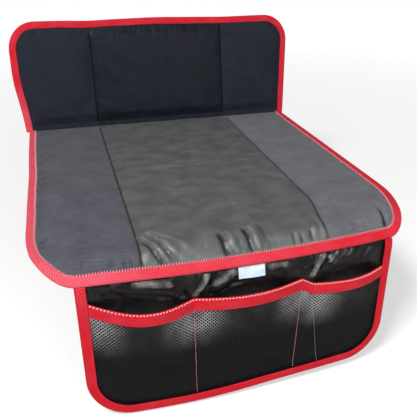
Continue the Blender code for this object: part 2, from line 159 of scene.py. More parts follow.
def noise(u: Array, v: Array, cell: float, seed: int) -> Array:
    """Smooth noise from -1 to 1.

    A seeded lattice of values, cell apart, blended along both ways by the smooth step.

    Args:
        u: First coordinate, in metres.
        v: Second coordinate, in metres.
        cell: Distance between the lattice's values.
        seed: Which lattice.

    Returns:
        One value for each point.
    """
    table = np.random.default_rng(seed).uniform(-1, 1, (64, 64))
    x, y = u / cell + 0.37 * seed, v / cell + 0.61 * seed
    i, j = np.floor(x).astype(int), np.floor(y).astype(int)
    s, t = smooth(x - i), smooth(y - j)

    def at(a: Array, b: Array) -> Array:
        """The lattice's value at whole numbers."""
        return table[a % 64, b % 64]

    low = at(i, j) * (1 - s) + at(i + 1, j) * s
    high = at(i, j + 1) * (1 - s) + at(i + 1, j + 1) * s
    return low * (1 - t) + high * t


def stack(*parts: Array) -> Array:
    """Coordinates joined into points along a last axis."""
    return np.stack(np.broadcast_arrays(*parts), axis=-1).astype(float)


def unit(vectors: Array) -> Array:
    """Vectors brought to length 1."""
    return vectors / np.maximum(np.linalg.norm(vectors, axis=-1, keepdims=True), 1e-12)


def graded(start: float, end: float, step: float, fine: float, ends: Tuple[bool, bool]) -> Array:
    """Lines from start to end about a step apart, closer together towards the named ends.

    The spacing follows a sine: equal angles over the stretch near an end.

    Args:
        start: First line.
        end: Last line.
        step: Distance in the middle.
        fine: Length of the graded stretch at an end.
        ends: Whether the first and the last stretch are graded.

    Returns:
        The lines in order.
    """
    low = start + fine if ends[0] else start
    high = end - fine if ends[1] else end
    steps = max(2, round(fine / step * 1.6))
    angle = np.linspace(0, math.pi / 2, steps + 1)
    parts = [np.linspace(low, high, max(2, round((high - low) / step)) + 1)]
    if ends[0]:
        parts.insert(0, start + fine * (1 - np.cos(angle))[:-1])
    if ends[1]:
        parts.append(high + fine * np.sin(angle)[1:])
    return np.concatenate(parts)


def grid_quads(rows: int, columns: int) -> Array:
    """The four-cornered faces of a grid of points that are numbered row by row."""
    index = np.arange(rows * columns).reshape(rows, columns)
    corners = (index[:-1, :-1], index[:-1, 1:], index[1:, 1:], index[1:, :-1])
    return np.stack([corner.ravel() for corner in corners], axis=1)


def ring_of(count: int) -> Tuple[Array, Array]:
    """A ring's points by number, and the one after each."""
    ring = np.arange(count)
    return ring, (ring + 1) % count


def slopes(surface: Heights, across: Array, along: Array, small: float) -> Tuple[Array, Array]:
    """How a surface goes on for a metre of the pattern, across and along."""
    by_across = surface(across + small, along) - surface(across - small, along)
    by_along = surface(across, along + small) - surface(across, along - small)
    return by_across / (2 * small), by_along / (2 * small)


def run_length(points: Array) -> Array:
    """Distance gone at each point of a line of points."""
    return np.concatenate([[0.0], np.cumsum(np.linalg.norm(np.diff(points, axis=0), axis=1))])


def link(name: str, data: bpy.types.ID) -> Piece:
    """A new object at the origin, in the scene."""
    made = bpy.data.objects.new(name, data)
    bpy.context.scene.collection.objects.link(made)
    return made


@dataclass(frozen=True)
class Outline:
    """Stations round a panel's edge: place, inward direction and distance round."""

    across: Array
    along: Array
    in_across: Array
    in_along: Array
    distance: Array

    def inside(self, inward: Array) -> Tuple[Array, Array]:
        """Pattern places at distances in from the edge, as (stations, distances) arrays."""
        inward = np.atleast_2d(inward)
        across = self.across[:, None] + self.in_across[:, None] * inward
        return across, self.along[:, None] + self.in_along[:, None] * inward


@dataclass(frozen=True)
class Slack:
    """A place where a panel has slipped a little: a shift of space under a bell over the pattern."""

    across: float
    along: float
    reach: Tuple[float, float]
    shift: Tuple[float, float, float]

    def at(self, across: Array, along: Array) -> Array:
        """shift x bell(across away / reach) x bell(along away / reach)."""
        share = bell(across - self.across, self.reach[0]) * bell(along - self.along, self.reach[1])
        return np.asarray(share)[..., None] * np.array(self.shift)


@dataclass(frozen=True)
class Panel:
    """A flat pattern with two round corners at its far end. Subclasses carry it into space."""

    half_start: float
    half_end: float
    length: float
    corner_across: float
    corner_along: float
    slack: Tuple[Slack, ...] = ()

    def side(self, along: Array) -> Array:
        """Half the width without the corners."""
        return self.half_start + (self.half_end - self.half_start) * along / self.length

    def half(self, along: Array, inset: float = 0.0) -> Array:
        """Half the width at a distance along, or that of a line inside the edge."""
        reach = np.maximum(0.0, along - self.length + self.corner_along) / (self.corner_along - inset)
        cut = (self.corner_across - inset) * (1 - np.sqrt(1 - np.minimum(reach, 1.0) ** 2))
        return self.side(along) - inset - cut

    def end(self, across: Array, inset: float = 0.0) -> Array:
        """Where the far edge, or a line inside it, lies at a distance across."""
        beyond = np.maximum(0.0, np.abs(across) - self.half_end + self.corner_across)
        reach = np.minimum(beyond / (self.corner_across - inset), 1.0)
        return self.length - inset - (self.corner_along - inset) * (1 - np.sqrt(1 - reach**2))

    def grid(self, lines: Array, shares: Array, inset: float = 0.0) -> Tuple[Array, Array]:
        """Pattern places on lines along the panel, at shares of half its width."""
        along = np.repeat(lines[:, None], len(shares), axis=1)
        return shares[None, :] * self.half(along, inset), along

    def edge_distance(self, across: Array, along: Array) -> Array:
        """Distance from a point to the nearest edge. A corner is a quarter ellipse."""
        x = np.abs(across) - self.side(along) + self.corner_across
        y = along - self.length + self.corner_along
        straight = np.minimum(np.minimum(self.corner_across - x, self.corner_along - y), along)
        share = np.hypot(x / self.corner_across, y / self.corner_along)
        steep = np.hypot(x / self.corner_across**2, y / self.corner_along**2)
        curved = np.minimum((1 - share) * share / np.maximum(steep, 1e-9), along)
        return np.maximum(0.0, np.where((x <= 0) | (y <= 0), straight, curved))

    def place(self, across: Array, along: Array, height: Array) -> Array:
        """Points of space for points of the pattern at a height over its underside."""
        raise NotImplementedError

    def slipped(self, across: Array, along: Array) -> Array:
        """The shifts of all slack places together."""
        result = np.zeros((*np.broadcast(across, along).shape, 3))
        for slack in self.slack:
            result = result + slack.at(across, along)
        return result

    def outline(self, step: float, start: float = 0.0) -> Outline:
        """Stations at even distances round the edge, from the right start to the left start.

        Each side is straight, each corner is (a cos t, b sin t), and the far edge is straight.

        Args:
            step: Distance between stations.
            start: Where along the sides the outline starts.

        Returns:
            The stations.
        """
        straight = self.length - self.corner_along
        lines = np.linspace(start, straight, 400)
        angle = np.linspace(0, math.pi / 2, 400)[1:-1]
        x, y = self.corner_across * np.cos(angle), self.corner_along * np.sin(angle)
        inward = unit(stack(-x / self.corner_across**2, -y / self.corner_along**2))
        inner = np.linspace(self.half_end - self.corner_across, 0.0, 300)
        across = np.concatenate([self.side(lines), self.side(straight + y) - self.corner_across + x, inner])
        along = np.concatenate([lines, straight + y, np.full(300, self.length)])
        in_across = np.concatenate([np.full(400, -1.0), inward[:, 0], np.zeros(300)])
        in_along = np.concatenate([np.zeros(400), inward[:, 1], np.full(300, -1.0)])
        sides = [(across, -across), (along, along), (in_across, -in_across), (in_along, in_along)]
        whole = [np.concatenate([right, left[-2::-1]]) for right, left in sides]
        distance = run_length(stack(*whole[:2]))
        even = np.linspace(0.0, distance[-1], round(distance[-1] / step) + 1)
        return Outline(*(np.interp(even, distance, values) for values in whole), even)


@dataclass(frozen=True)
class SeatPanel(Panel):
    """The seat pad's pattern: level, bowed out in front, then rolled down."""

    bow: float = 0.016
    roll_radius: float = 0.036
    roll_angle: float = math.radians(55.0)

    @property
    def level(self) -> float:
        """Length of the level part."""
        return self.length - self.roll_radius * self.roll_angle

    def place(self, across: Array, along: Array, height: Array) -> Array:
        """Level up to the roll, then round a line below it: y and z turn by (along - level) / radius."""
        turn = np.maximum(0.0, along - self.level) / self.roll_radius
        bowed = self.bow * (1 - (across / self.half_start) ** 2)
        level = np.minimum(along, self.level) * (1 + bowed / self.level)
        arm = self.roll_radius + height
        flat = stack(across, CREASE_Y - level - arm * np.sin(turn), arm * np.cos(turn) - self.roll_radius)
        return flat + self.slipped(across, along)


@dataclass(frozen=True)
class BackPanel(Panel):
    """The back pad's pattern: a plane that leans back from the crease."""

    lean: float = BACK_LEAN

    def place(self, across: Array, along: Array, height: Array) -> Array:
        """foot + up x along + out x height, with up and out in the plane of the lean."""
        sine, cosine = math.sin(self.lean), math.cos(self.lean)
        foot_y = CREASE_Y + CLEARANCE + (EDGE_TOP + TAPE_OVER) * cosine
        y = foot_y + sine * along - cosine * height
        flat = stack(across, y, EDGE_LIFT * (1 - sine) + cosine * along + sine * height)
        return flat + self.slipped(across, along)


@dataclass(frozen=True)
class ApronPanel(Panel):
    """The apron's pattern: it leaves the roll's underside, turns, and hangs."""

    seat: SeatPanel = SeatPanel(*SEAT_SIZE)
    bend: float = 0.012
    skew: float = 0.005
    lean: float = math.radians(4.0)

    def place(self, across: Array, along: Array, height: Array) -> Array:
        """Along the roll down to 0, then through the bend by its middle angle, then straight down."""
        under = self.seat.place(across, self.seat.length + np.minimum(along, 0.0), APRON_HEIGHT + height)
        down = along * (1 - self.skew / self.length * np.tanh(across / (self.half_start / 3)))
        turned = np.clip(down, 0.0, self.bend)
        turn = math.pi / 2 - self.lean - self.seat.roll_angle
        angle = self.seat.roll_angle + turn * turned / self.bend
        middle = (self.seat.roll_angle + angle) / 2
        start = self.seat.place(across, self.seat.length + 0 * along, APRON_HEIGHT + 0 * along)
        rest = np.maximum(down, 0.0) - turned
        y = -np.cos(middle) * turned - np.cos(angle) * rest - np.sin(angle) * height
        z = -np.sin(middle) * turned - np.sin(angle) * rest + np.cos(angle) * height
        return np.where((along <= 0)[..., None], under, start + stack(0 * across, y, z))


SEAT_SLACK = (
    Slack(-0.222, 0.418, (0.04, 0.042), (-0.0035, -0.0035, -0.0015)),
    Slack(0.225, 0.425, (0.036, 0.04), (-0.0038, 0.0008, 0.0)),
    Slack(-0.2375, 0.2, (0.05, 0.06), (0.0012, 0.0, 0.0)),
)
BACK_SLACK = (
    Slack(-0.25, 0.088, (0.03, 0.042), (-0.0042, 0.0, 0.0)),
    Slack(-0.12, 0.182, (0.03, 0.02), (0.0, 0.0, -0.0014)),
    Slack(0.0, 0.182, (0.05, 0.02), (0.0, 0.0, 0.0014)),
    Slack(0.13, 0.182, (0.04, 0.02), (0.0, 0.0, -0.001)),
)
SEAT = SeatPanel(*SEAT_SIZE, SEAT_SLACK)
BACK = BackPanel(0.2425, 0.2535, 0.182, 0.046, 0.046, BACK_SLACK)
APRON = ApronPanel(0.1905, 0.1905, 0.1755, 0.05, 0.05)


@dataclass(frozen=True)
class Fold:
    """A ridge in the cloth along a line of the pattern, steeper on one side.

    Its height is height x bell(aside / width) x a fade at both ends.
    """

    start: Tuple[float, float]
    end: Tuple[float, float]
    width: float
    height: float
    lean: float = 0.0

    def at(self, across: Array, along: Array) -> Array:
        """The ridge's height at points of the pattern."""
        run_x, run_y = self.end[0] - self.start[0], self.end[1] - self.start[1]
        length = math.hypot(run_x, run_y)
        share = ((across - self.start[0]) * run_x + (along - self.start[1]) * run_y) / length**2
        aside = ((across - self.start[0]) * run_y - (along - self.start[1]) * run_x) / length
        width = self.width * np.where(aside > 0, 1 + self.lean, 1 - self.lean)
        ramp = smooth(np.minimum(share, 1 - share) * 3 + 0.5)
        return self.height * ramp * np.exp(-((aside / width) ** 2))


def folds_from(*rows: Tuple[float, ...]) -> Tuple[Fold, ...]:
    """Folds from rows of start, end, width and height in millimetres, and the lean as a share."""
    parts = [(np.array(row[:6]) / 1000, row[6:]) for row in rows]
    return tuple(Fold(tuple(mm[:2]), tuple(mm[2:4]), mm[4], mm[5], *lean) for mm, lean in parts)


@dataclass(frozen=True)
class Pull:
    """Creases that run out from a place where the cloth is held.

    The height is noise over the angle round the place, x the distance / reach x a fade beyond it.
    """

    across: float
    along: float
    reach: float
    height: float
    seed: int
    spokes: float = 5.0

    def at(self, across: Array, along: Array) -> Array:
        """The creases' height at points of the pattern."""
        x, y = across - self.across, along - self.along
        distance = np.hypot(x, y)
        angle = np.arctan2(y, x)
        wave = noise(angle * self.spokes, distance / self.reach * 1.2, 1.0, self.seed)
        sharp = 1 - 2 * np.abs(wave) ** 0.8
        return self.height * sharp * smooth(distance / self.reach * 2) * bell(distance, self.reach)


def total(parts: Sequence, across: Array, along: Array) -> Array:
    """The heights of several folds or pulls together."""
    result = np.zeros(np.broadcast(across, along).shape)
    for part in parts:
        result = result + part.at(across, along)
    return result


def swell(distance: Array) -> Array:
    """0 under the tape and 1 where a pad has its full thickness."""
    return smooth((distance - HELD - EDGE_RIM) / EDGE_RISE)


def pillow(distance: Array) -> Array:
    """The upper side's rise at an edge: half the smooth step, half a quarter circle, sqrt(1 - (1 - t)^2)."""
    share = np.clip((distance - HELD - EDGE_RIM / 2) / (EDGE_RISE + EDGE_RIM / 2), 0.0, 1.0)
    return 0.5 * smooth(share) + 0.5 * np.sqrt(1 - (1 - share) ** 2)


def faces_volume(points: Array, faces: Sequence[Array]) -> float:
    """Six times the volume that faces close in, as fans of corner products."""
    volume = 0.0
    for group in faces:
        for last in range(2, group.shape[1]):
            a, b, c = points[group[:, 0]], points[group[:, last - 1]], points[group[:, last]]
            volume += float((a * np.cross(b, c)).sum())
    return volume


def make_mesh(
    name: str,
    points: Array,
    faces: Sequence[Array],
    finish: "Finish",
    uv: Optional[Array] = None,
    values: Optional[Dict[str, Array]] = None,
) -> Piece:
    """A smooth-shaded mesh object whose faces look outwards.

    Args:
        name: The piece's name.
        points: Its points, one row each.
        faces: Groups of faces with the same number of corners.
        finish: What it is made of.
        uv: Pattern coordinates of each point, in metres.
        values: Named numbers of each point, for the finish to read.

    Returns:
        The object, at the origin.
    """
    centred = points - points.mean(axis=0)
    if faces_volume(centred, faces) < 0:
        faces = [group[:, ::-1] for group in faces]
    corners = np.concatenate([group.ravel() for group in faces]).astype(np.int32)
    sizes = np.concatenate([np.full(len(group), group.shape[1]) for group in faces])
    starts = np.concatenate([[0], np.cumsum(sizes)[:-1]]).astype(np.int32)
    mesh = bpy.data.meshes.new(name)
    mesh.vertices.add(len(points))
    mesh.vertices.foreach_set("co", points.astype(np.float32).ravel())
    mesh.loops.add(len(corners))
    mesh.loops.foreach_set("vertex_index", corners)
    mesh.polygons.add(len(sizes))
    mesh.polygons.foreach_set("loop_start", starts)
    mesh.update(calc_edges=True)
    if uv is not None:
        layer = mesh.uv_layers.new(name=UV_NAME)
        layer.data.foreach_set("uv", uv[corners].astype(np.float32).ravel())
    for key, numbers in (values or {}).items():
        attribute = mesh.attributes.new(key, "FLOAT", "POINT")
        attribute.data.foreach_set("value", numbers.astype(np.float32).ravel())
    mesh.polygons.foreach_set("use_smooth", np.ones(len(sizes), bool))
    mesh.set_sharp_from_angle(angle=math.radians(55))
    made = link(name, mesh)
    mesh.materials.append(finish.material())
    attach(made, "root")
    LOG.info("%s made", name)
    return made


def shell(
    name: str,
    outer: Array,
    inner: Array,
    uv: Array,
    finish: "Finish",
    values: Optional[Dict[str, Array]] = None,
) -> Piece:
    """Two grids of points closed along their borders into one thin body.

    Args:
        name: The piece's name.
        outer: Points of the side that is seen, (rows, columns, 3).
        inner: Points of the other side.
        uv: Pattern coordinates, (rows, columns, 2).
        finish: What it is made of.
        values: Named numbers, (rows, columns), for the finish to read.

    Returns:
        The object.
    """
    rows, columns = outer.shape[:2]
    count = rows * columns
    index = np.arange(count).reshape(rows, columns)
    quads = grid_quads(rows, columns)
    loop = np.concatenate([index[0, :], index[1:, -1], index[-1, -2::-1], index[-2:0:-1, 0]])
    after = np.roll(loop, -1)
    rim = np.stack([after, loop, loop + count, after + count], axis=1)
    points = np.concatenate([outer.reshape(-1, 3), inner.reshape(-1, 3)])
    pattern = np.tile(uv.reshape(-1, 2), (2, 1))
    doubled = {key: np.tile(numbers.ravel(), 2) for key, numbers in (values or {}).items()}
    return make_mesh(name, points, [quads, quads[:, ::-1] + count, rim], finish, pattern, doubled)


class Nodes:
    """A material's node tree, filled by short calls."""

    def __init__(self, name: str) -> None:
        """Starts a material with its Principled shader."""
        self.material = bpy.data.materials.new(name)
        self.material.use_nodes = True
        self.tree = self.material.node_tree
        self.shader = self.tree.nodes["Principled BSDF"]

    def put(self, socket: Socket, value: object) -> None:
        """Links a socket to another one, or gives it a plain value."""
        if isinstance(value, Socket):
            self.tree.links.new(value, socket)
        else:
            socket.default_value = value

    def add(self, kind: str, inputs: Optional[dict] = None, **settings: object) -> bpy.types.Node:
        """A new node with its settings and inputs."""
        node = self.tree.nodes.new(kind)
        for key, value in settings.items():
            setattr(node, key, value)
        for key, value in (inputs or {}).items():
            self.put(node.inputs[key], value)
        return node

    def math(self, operation: str, first: object, second: object = 0.0) -> Socket:
        """The result of one operation."""
        return self.add("ShaderNodeMath", {0: first, 1: second}, operation=operation).outputs[0]

    def times(self, first: object, second: object) -> Socket:
        """A product."""
        return self.math("MULTIPLY", first, second)

    def plus(self, first: object, second: object) -> Socket:
        """A sum."""
        return self.math("ADD", first, second)

    def between(self, value: object, low: float, high: float, to_low: float = 0.0, to_high: float = 1.0) -> Socket:
        """A value carried from one range to another, and held there."""
        inputs = {"Value": value, "From Min": low, "From Max": high, "To Min": to_low, "To Max": to_high}
        return self.add("ShaderNodeMapRange", inputs).outputs[0]

    def mix(self, share: object, first: object, second: object) -> Socket:
        """Two colours mixed."""
        first = (*first, 1.0) if isinstance(first, tuple) else first
        second = (*second, 1.0) if isinstance(second, tuple) else second
        node = self.add("ShaderNodeMix", data_type="RGBA")
        for place, value in ((0, share), (6, first), (7, second)):
            self.put(node.inputs[place], value)
        return node.outputs[2]

    def pattern(self) -> Socket:
        """The cloth's own coordinates, in metres."""
        return self.add("ShaderNodeUVMap", uv_map=UV_NAME).outputs[0]

    def object_place(self) -> Socket:
        """Object coordinates, in metres."""
        return self.add("ShaderNodeTexCoord").outputs["Object"]

    def number(self, name: str) -> Socket:
        """A named number that the piece carries."""
        return self.add("ShaderNodeAttribute", attribute_name=name).outputs["Fac"]

    def noise(self, place: object, scale: Sequence[float], detail: float = 2.0) -> Socket:
        """Noise of about 0 to 1, with its own scale each way, in waves per metre."""
        mapped = self.add("ShaderNodeMapping", {"Vector": place, "Scale": tuple(scale)}).outputs[0]
        inputs = {"Vector": mapped, "Scale": 1.0, "Detail": detail, "Roughness": 0.55}
        return self.add("ShaderNodeTexNoise", inputs).outputs[0]

    def waves(self, place: object, pitch: Tuple[float, float]) -> Tuple[Socket, ...]:
        """Sines along the pattern's two ways: sin(2 pi u / pitch), sin(2 pi v / pitch)."""
        parts = self.add("ShaderNodeSeparateXYZ", {0: place}).outputs
        turns = [self.times(parts[k], 2 * math.pi / pitch[k]) for k in (0, 1)]
        return tuple(self.math("SINE", turn) for turn in turns)

    def creased(self, colour: object, deep: Colour, ridge: Colour, share: float) -> Socket:
        """Painted shade in the folds' valleys and a painted highlight on their ridges, in patches that also stand for
        rubbed paler yarn, by the number "fold".
        """
        fold = self.number("fold")
        rub_and_highlight_noise = self.noise(self.pattern(), (420, 420, 1), 2.0)
        broken = self.noise(self.pattern(), (120, 60, 1), 3.0)
        broken = self.between(broken, 0.38, 0.62, 0.25, 1.0)
        # Painted highlight on the ridges, in noisy patches that also stand for rubbed yarn
        rub_and_highlight_patches = self.times(self.between(rub_and_highlight_noise, 0.25, 0.6, 0.45, 1.0), broken)
        high = self.times(self.between(fold, 0.25, 1.0), rub_and_highlight_patches)
        colour = self.mix(self.times(high, share), colour, ridge)
        # Painted shade in the valleys
        return self.mix(self.between(fold, -0.75, -0.1, 0.92, 0.0), colour, deep)

    def bump(self, height: object, distance: float, strength: float = 1.0, normal: object = None) -> Socket:
        """A relief of that depth, over another one where it is given."""
        node = self.add("ShaderNodeBump", {"Height": height, "Distance": distance, "Strength": strength})
        if normal is not None:
            self.put(node.inputs["Normal"], normal)
        return node.outputs[0]

    def finish(self, **sockets: object) -> Material:
        """Fills the shader's sockets, by their names with _ for a space."""
        for key, value in sockets.items():
            value = (*value, 1.0) if isinstance(value, tuple) else value
            self.put(self.shader.inputs[key.replace("_", " ")], value)
        return self.material


@dataclass(frozen=True)
class Finish:
    """What a piece is made of."""

    name: str
    slot: str
    colour: Colour
    roughness: float

    def material(self) -> Material:
        """The material, made once."""
        return bpy.data.materials.get(self.name) or self.make(Nodes(self.name))

    def make(self, nodes: Nodes) -> Material:
        """Builds the node tree."""
        raise NotImplementedError

    def plain(self, colour: object, normal: object) -> Dict[str, object]:
        """The sockets that nearly every finish fills."""
        return {"Base_Color": colour, "Roughness": self.roughness, "Normal": normal}

    def painted_crease_shade(self) -> Colour:
        """The painted shade colour for a deep crease."""
        return tuple(PAINTED_SHADE_SHARE * part for part in self.colour)


@dataclass(frozen=True)
class WovenFinish(Finish):
    """Matte woven cloth: a fine crossed weave, streaks across it, and a dusty lift in places."""

    dusty: Colour = (0.16, 0.16, 0.19)
    pitch: float = 0.0011
    relief: float = 0.00012
    specular: float = 0.2
    sheen: float = 0.08

    def make(self, nodes: Nodes) -> Material:
        """Streaks and dust colour the cloth; the weave is a product of two sines."""
        place = nodes.pattern()
        streak = nodes.noise(place, (70, 900, 1), 3.0)
        cloud = nodes.noise(place, (26, 34, 1), 4.0)
        fine = nodes.noise(place, (1500, 1500, 1), 1.0)
        share = nodes.times(nodes.between(streak, 0.3, 0.75), 0.42)
        share = nodes.plus(share, nodes.times(nodes.between(cloud, 0.35, 0.75), 0.24))
        share = nodes.plus(share, nodes.times(nodes.between(fine, 0.35, 0.7), 0.16))
        colour = nodes.mix(share, self.colour, self.dusty)
        # Painted shade in fold valleys, and a painted highlight in the dusty colour on fold ridges
        colour = nodes.creased(colour, self.painted_crease_shade(), self.dusty, 0.3)
        warp, weft = nodes.waves(place, (self.pitch, self.pitch))
        weave = nodes.plus(nodes.times(warp, weft), nodes.times(streak, 1.4))
        wavy = nodes.bump(nodes.noise(place, (60, 60, 1), 3.0), 0.0009)
        normal = nodes.bump(weave, self.relief, 0.8, wavy)
        return nodes.finish(
            **self.plain(colour, normal), Specular_IOR_Level=self.specular,
            Sheen_Weight=self.sheen, Sheen_Roughness=0.45,
        )


@dataclass(frozen=True)
class CoatedFinish(Finish):
    """Coated cloth: near black with a soft or strong gloss, a fine grain and small creases."""

    lighter: Colour = (0.05, 0.05, 0.055)
    # Painted highlight colour on fold ridges, in place of the gloss's own reflections
    ridge: Colour = (0.21, 0.21, 0.205)
    crinkle: float = 0.0005
    specular: float = 0.5

    def make(self, nodes: Nodes) -> Material:
        """Clouded colour and gloss; creases are folded noise, |n - 0.5|, stretched along the cloth."""
        place = nodes.pattern()
        cloud = nodes.noise(place, (30, 44, 1), 4.0)
        grain = nodes.noise(place, (1100, 1100, 1), 1.0)
        colour = nodes.mix(nodes.between(cloud, 0.35, 0.8, 0.0, 0.55), self.colour, self.lighter)
        # Painted shade in fold valleys and the painted highlight colour on fold ridges
        colour = nodes.creased(colour, self.painted_crease_shade(), self.ridge, 0.9)
        rough = nodes.between(cloud, 0.3, 0.75, self.roughness - 0.05, self.roughness + 0.08)
        folded = nodes.math("ABSOLUTE", nodes.math("SUBTRACT", nodes.noise(place, (70, 38, 1), 3.0), 0.5))
        creased = nodes.bump(folded, self.crinkle * 6, 0.55)
        warp, weft = nodes.waves(place, (0.0009, 0.0009))
        weave = nodes.plus(nodes.times(warp, weft), grain)
        normal = nodes.bump(weave, 0.00004, 0.6, creased)
        return nodes.finish(
            Base_Color=colour, Roughness=rough, Normal=normal, Specular_IOR_Level=self.specular,
            Sheen_Weight=0.04, Sheen_Roughness=0.4,
        )


@dataclass(frozen=True)
class TapeFinish(Finish):
    """Herringbone tape: slanting ribs that meet in its middle, with painted shade between them, and a side with
    painted sunlight.
    """

    # Paler red for painted sunlight on the tape
    painted_sunlit_red: Colour = (0.86, 0.125, 0.175)
    # Painted shade colour for the grooves between the ribs
    deep: Colour = (0.3, 0.005, 0.012)
    rib: float = 0.0033

    def make(self, nodes: Nodes) -> Material:
        """Ribs are sin(2 pi (u + |v - middle|) / pitch), broken by fine noise; painted shade fills the grooves between
        them, and the piece's share, with random cloud, mixes in the paler red as painted sunlight.
        """
        place = nodes.pattern()
        parts = nodes.add("ShaderNodeSeparateXYZ", {0: place}).outputs
        aside = nodes.math("ABSOLUTE", nodes.math("SUBTRACT", parts[1], TAPE_WIDTH / 2))
        turn = nodes.times(nodes.plus(parts[0], aside), 2 * math.pi / self.rib)
        ribs = nodes.math("SINE", turn)
        thread = nodes.noise(place, (500, 1600, 1), 2.0)
        cloud = nodes.noise(place, (40, 90, 1), 3.0)
        # Share of painted sunlight: the piece's number, with random cloud
        ramp = nodes.plus(nodes.number("ramp"), nodes.between(cloud, 0.35, 0.8, -0.1, 0.22))
        lit = nodes.mix(nodes.between(ramp, 0.0, 1.0), self.colour, self.painted_sunlit_red)
        # Painted shade in the grooves between the ribs, with random thread tone
        painted_groove_shade = nodes.times(nodes.between(ribs, -1.0, 0.3, 1.0, 0.0), 0.62)
        colour = nodes.mix(nodes.plus(painted_groove_shade, nodes.between(thread, 0.5, 0.85, 0.0, 0.2)), lit, self.deep)
        height = nodes.plus(ribs, nodes.times(thread, 0.8))
        normal = nodes.bump(height, 0.0002, 0.9)
        return nodes.finish(
            **self.plain(colour, normal), Specular_IOR_Level=0.12,
            Sheen_Weight=0.02, Sheen_Roughness=0.4,
        )


@dataclass(frozen=True)
class ThreadFinish(Finish):
    """Twisted yarn: fine slanting grooves and a little change of colour."""

    other: Colour = (0.5, 0.1, 0.1)

    def make(self, nodes: Nodes) -> Material:
        """Noise at the yarn's scale changes the colour and gives the relief."""
        place = nodes.object_place()
        yarn = nodes.noise(place, (1800, 1800, 1800), 2.0)
        colour = nodes.mix(nodes.between(yarn, 0.35, 0.7), self.colour, self.other)
        normal = nodes.bump(yarn, 0.00008, 0.7)
        return nodes.finish(
            **self.plain(colour, normal), Specular_IOR_Level=0.4, Sheen_Weight=0.1
        )


@dataclass(frozen=True)
class NetFinish(Finish):
    """Knitted net yarn: black in the shade of the pocket, with painted light where it stands off."""

    paler: Colour = (0.8, 0.78, 0.78)

    def make(self, nodes: Nodes) -> Material:
        """The piece's own number "lit" mixes in the paler colour as painted light, broken by noise."""
        place = nodes.object_place()
        yarn = nodes.noise(place, (1500, 1500, 1500), 2.0)
        cloud = nodes.noise(place, (45, 45, 45), 2.0)
        lit = nodes.times(nodes.number("lit"), nodes.between(cloud, 0.3, 0.65, 0.35, 1.0))
        lit = nodes.times(lit, nodes.between(yarn, 0.3, 0.7, 0.6, 1.0))
        colour = nodes.mix(lit, self.colour, self.paler)
        normal = nodes.bump(yarn, 0.00008, 0.7)
        return nodes.finish(**self.plain(colour, normal), Specular_IOR_Level=0.12)


@dataclass(frozen=True)
class SatinFinish(Finish):
    """Satin ribbon: a smooth close weave, a paler middle and selvedges."""

    paler: Colour = (0.74, 0.83, 0.9)

    def make(self, nodes: Nodes) -> Material:
        """A soft gradient across the tab, with fine threads along it."""
        place = nodes.pattern()
        cloud = nodes.noise(place, (60, 140, 1), 2.0)
        thread = nodes.noise(place, (3200, 300, 1), 1.0)
        colour = nodes.mix(nodes.between(cloud, 0.2, 0.7), self.colour, self.paler)
        normal = nodes.bump(thread, 0.00005, 0.6)
        return nodes.finish(
            **self.plain(colour, normal), Sheen_Weight=0.15, Specular_IOR_Level=0.5
        )


@dataclass(frozen=True)
class FoamFinish(Finish):
    """Closed-cell foam: small round cells and a cut skin."""

    def make(self, nodes: Nodes) -> Material:
        """Cells are the distances of a Voronoi pattern."""
        place = nodes.object_place()
        cells = nodes.add("ShaderNodeTexVoronoi", {"Vector": place, "Scale": 900.0}).outputs["Distance"]
        dark = tuple(0.75 * part for part in self.colour)
        colour = nodes.mix(nodes.between(cells, 0.2, 0.8), self.colour, dark)
        normal = nodes.bump(cells, 0.0003, 0.8)
        return nodes.finish(**self.plain(colour, normal))


@dataclass(frozen=True)
class KnitFinish(Finish):
    """Knitted backing cloth: rows of small loops, with lint."""

    def make(self, nodes: Nodes) -> Material:
        """Loops are two crossed sines, one twice as close, with noise for the lint."""
        place = nodes.pattern()
        wale, course = nodes.waves(place, (0.0016, 0.0011))
        loops = nodes.plus(nodes.math("ABSOLUTE", wale), nodes.times(course, 0.5))
        lint = nodes.noise(place, (120, 120, 1), 4.0)
        lighter = tuple(2.0 * part for part in self.colour)
        colour = nodes.mix(nodes.between(lint, 0.45, 0.8), self.colour, lighter)
        normal = nodes.bump(loops, 0.00014, 0.8)
        return nodes.finish(
            **self.plain(colour, normal), Sheen_Weight=0.2, Specular_IOR_Level=0.2
        )


@dataclass(frozen=True)
class RubberFinish(Finish):
    """Soft printed rubber with a dull gloss."""

    def make(self, nodes: Nodes) -> Material:
        """Slight noise in the gloss."""
        place = nodes.object_place()
        cloud = nodes.noise(place, (300, 300, 300), 2.0)
        rough = nodes.between(cloud, 0.3, 0.7, self.roughness - 0.08, self.roughness + 0.08)
        normal = nodes.bump(cloud, 0.0001, 0.5)
        return nodes.finish(Base_Color=self.colour, Roughness=rough, Normal=normal, Specular_IOR_Level=0.5)


SEAT_CLOTH = WovenFinish("seat_side_weave", "woven_cover", (0.042, 0.044, 0.058), 0.85)
SEAT_CLOTH_PALE = WovenFinish(
    "seat_side_weave_pale", "woven_cover", (0.075, 0.076, 0.09), 0.8, dusty=(0.24, 0.24, 0.27)
)
# The back pad's cloths are copies of the seat's, darkened as painted shade
BACK_CLOTH_PAINTED_SHADE = WovenFinish(
    "back_side_weave_painted_shade", "woven_cover", (0.009, 0.01, 0.018), 0.8, dusty=(0.026, 0.03, 0.048), sheen=0.0
)
SEAT_MIDDLE = CoatedFinish(
    "seat_middle_cloth", "coated_cover", (0.076, 0.08, 0.082), 0.38, lighter=(0.18, 0.186, 0.184)
)
# Painted-shade copy of the seat's middle cloth
BACK_MIDDLE_PAINTED_SHADE = CoatedFinish(
    "back_middle_cloth_painted_shade", "coated_cover", (0.006, 0.007, 0.013), 0.5, lighter=(0.014, 0.018, 0.03),
    ridge=(0.035, 0.038, 0.055), specular=0.15,
)
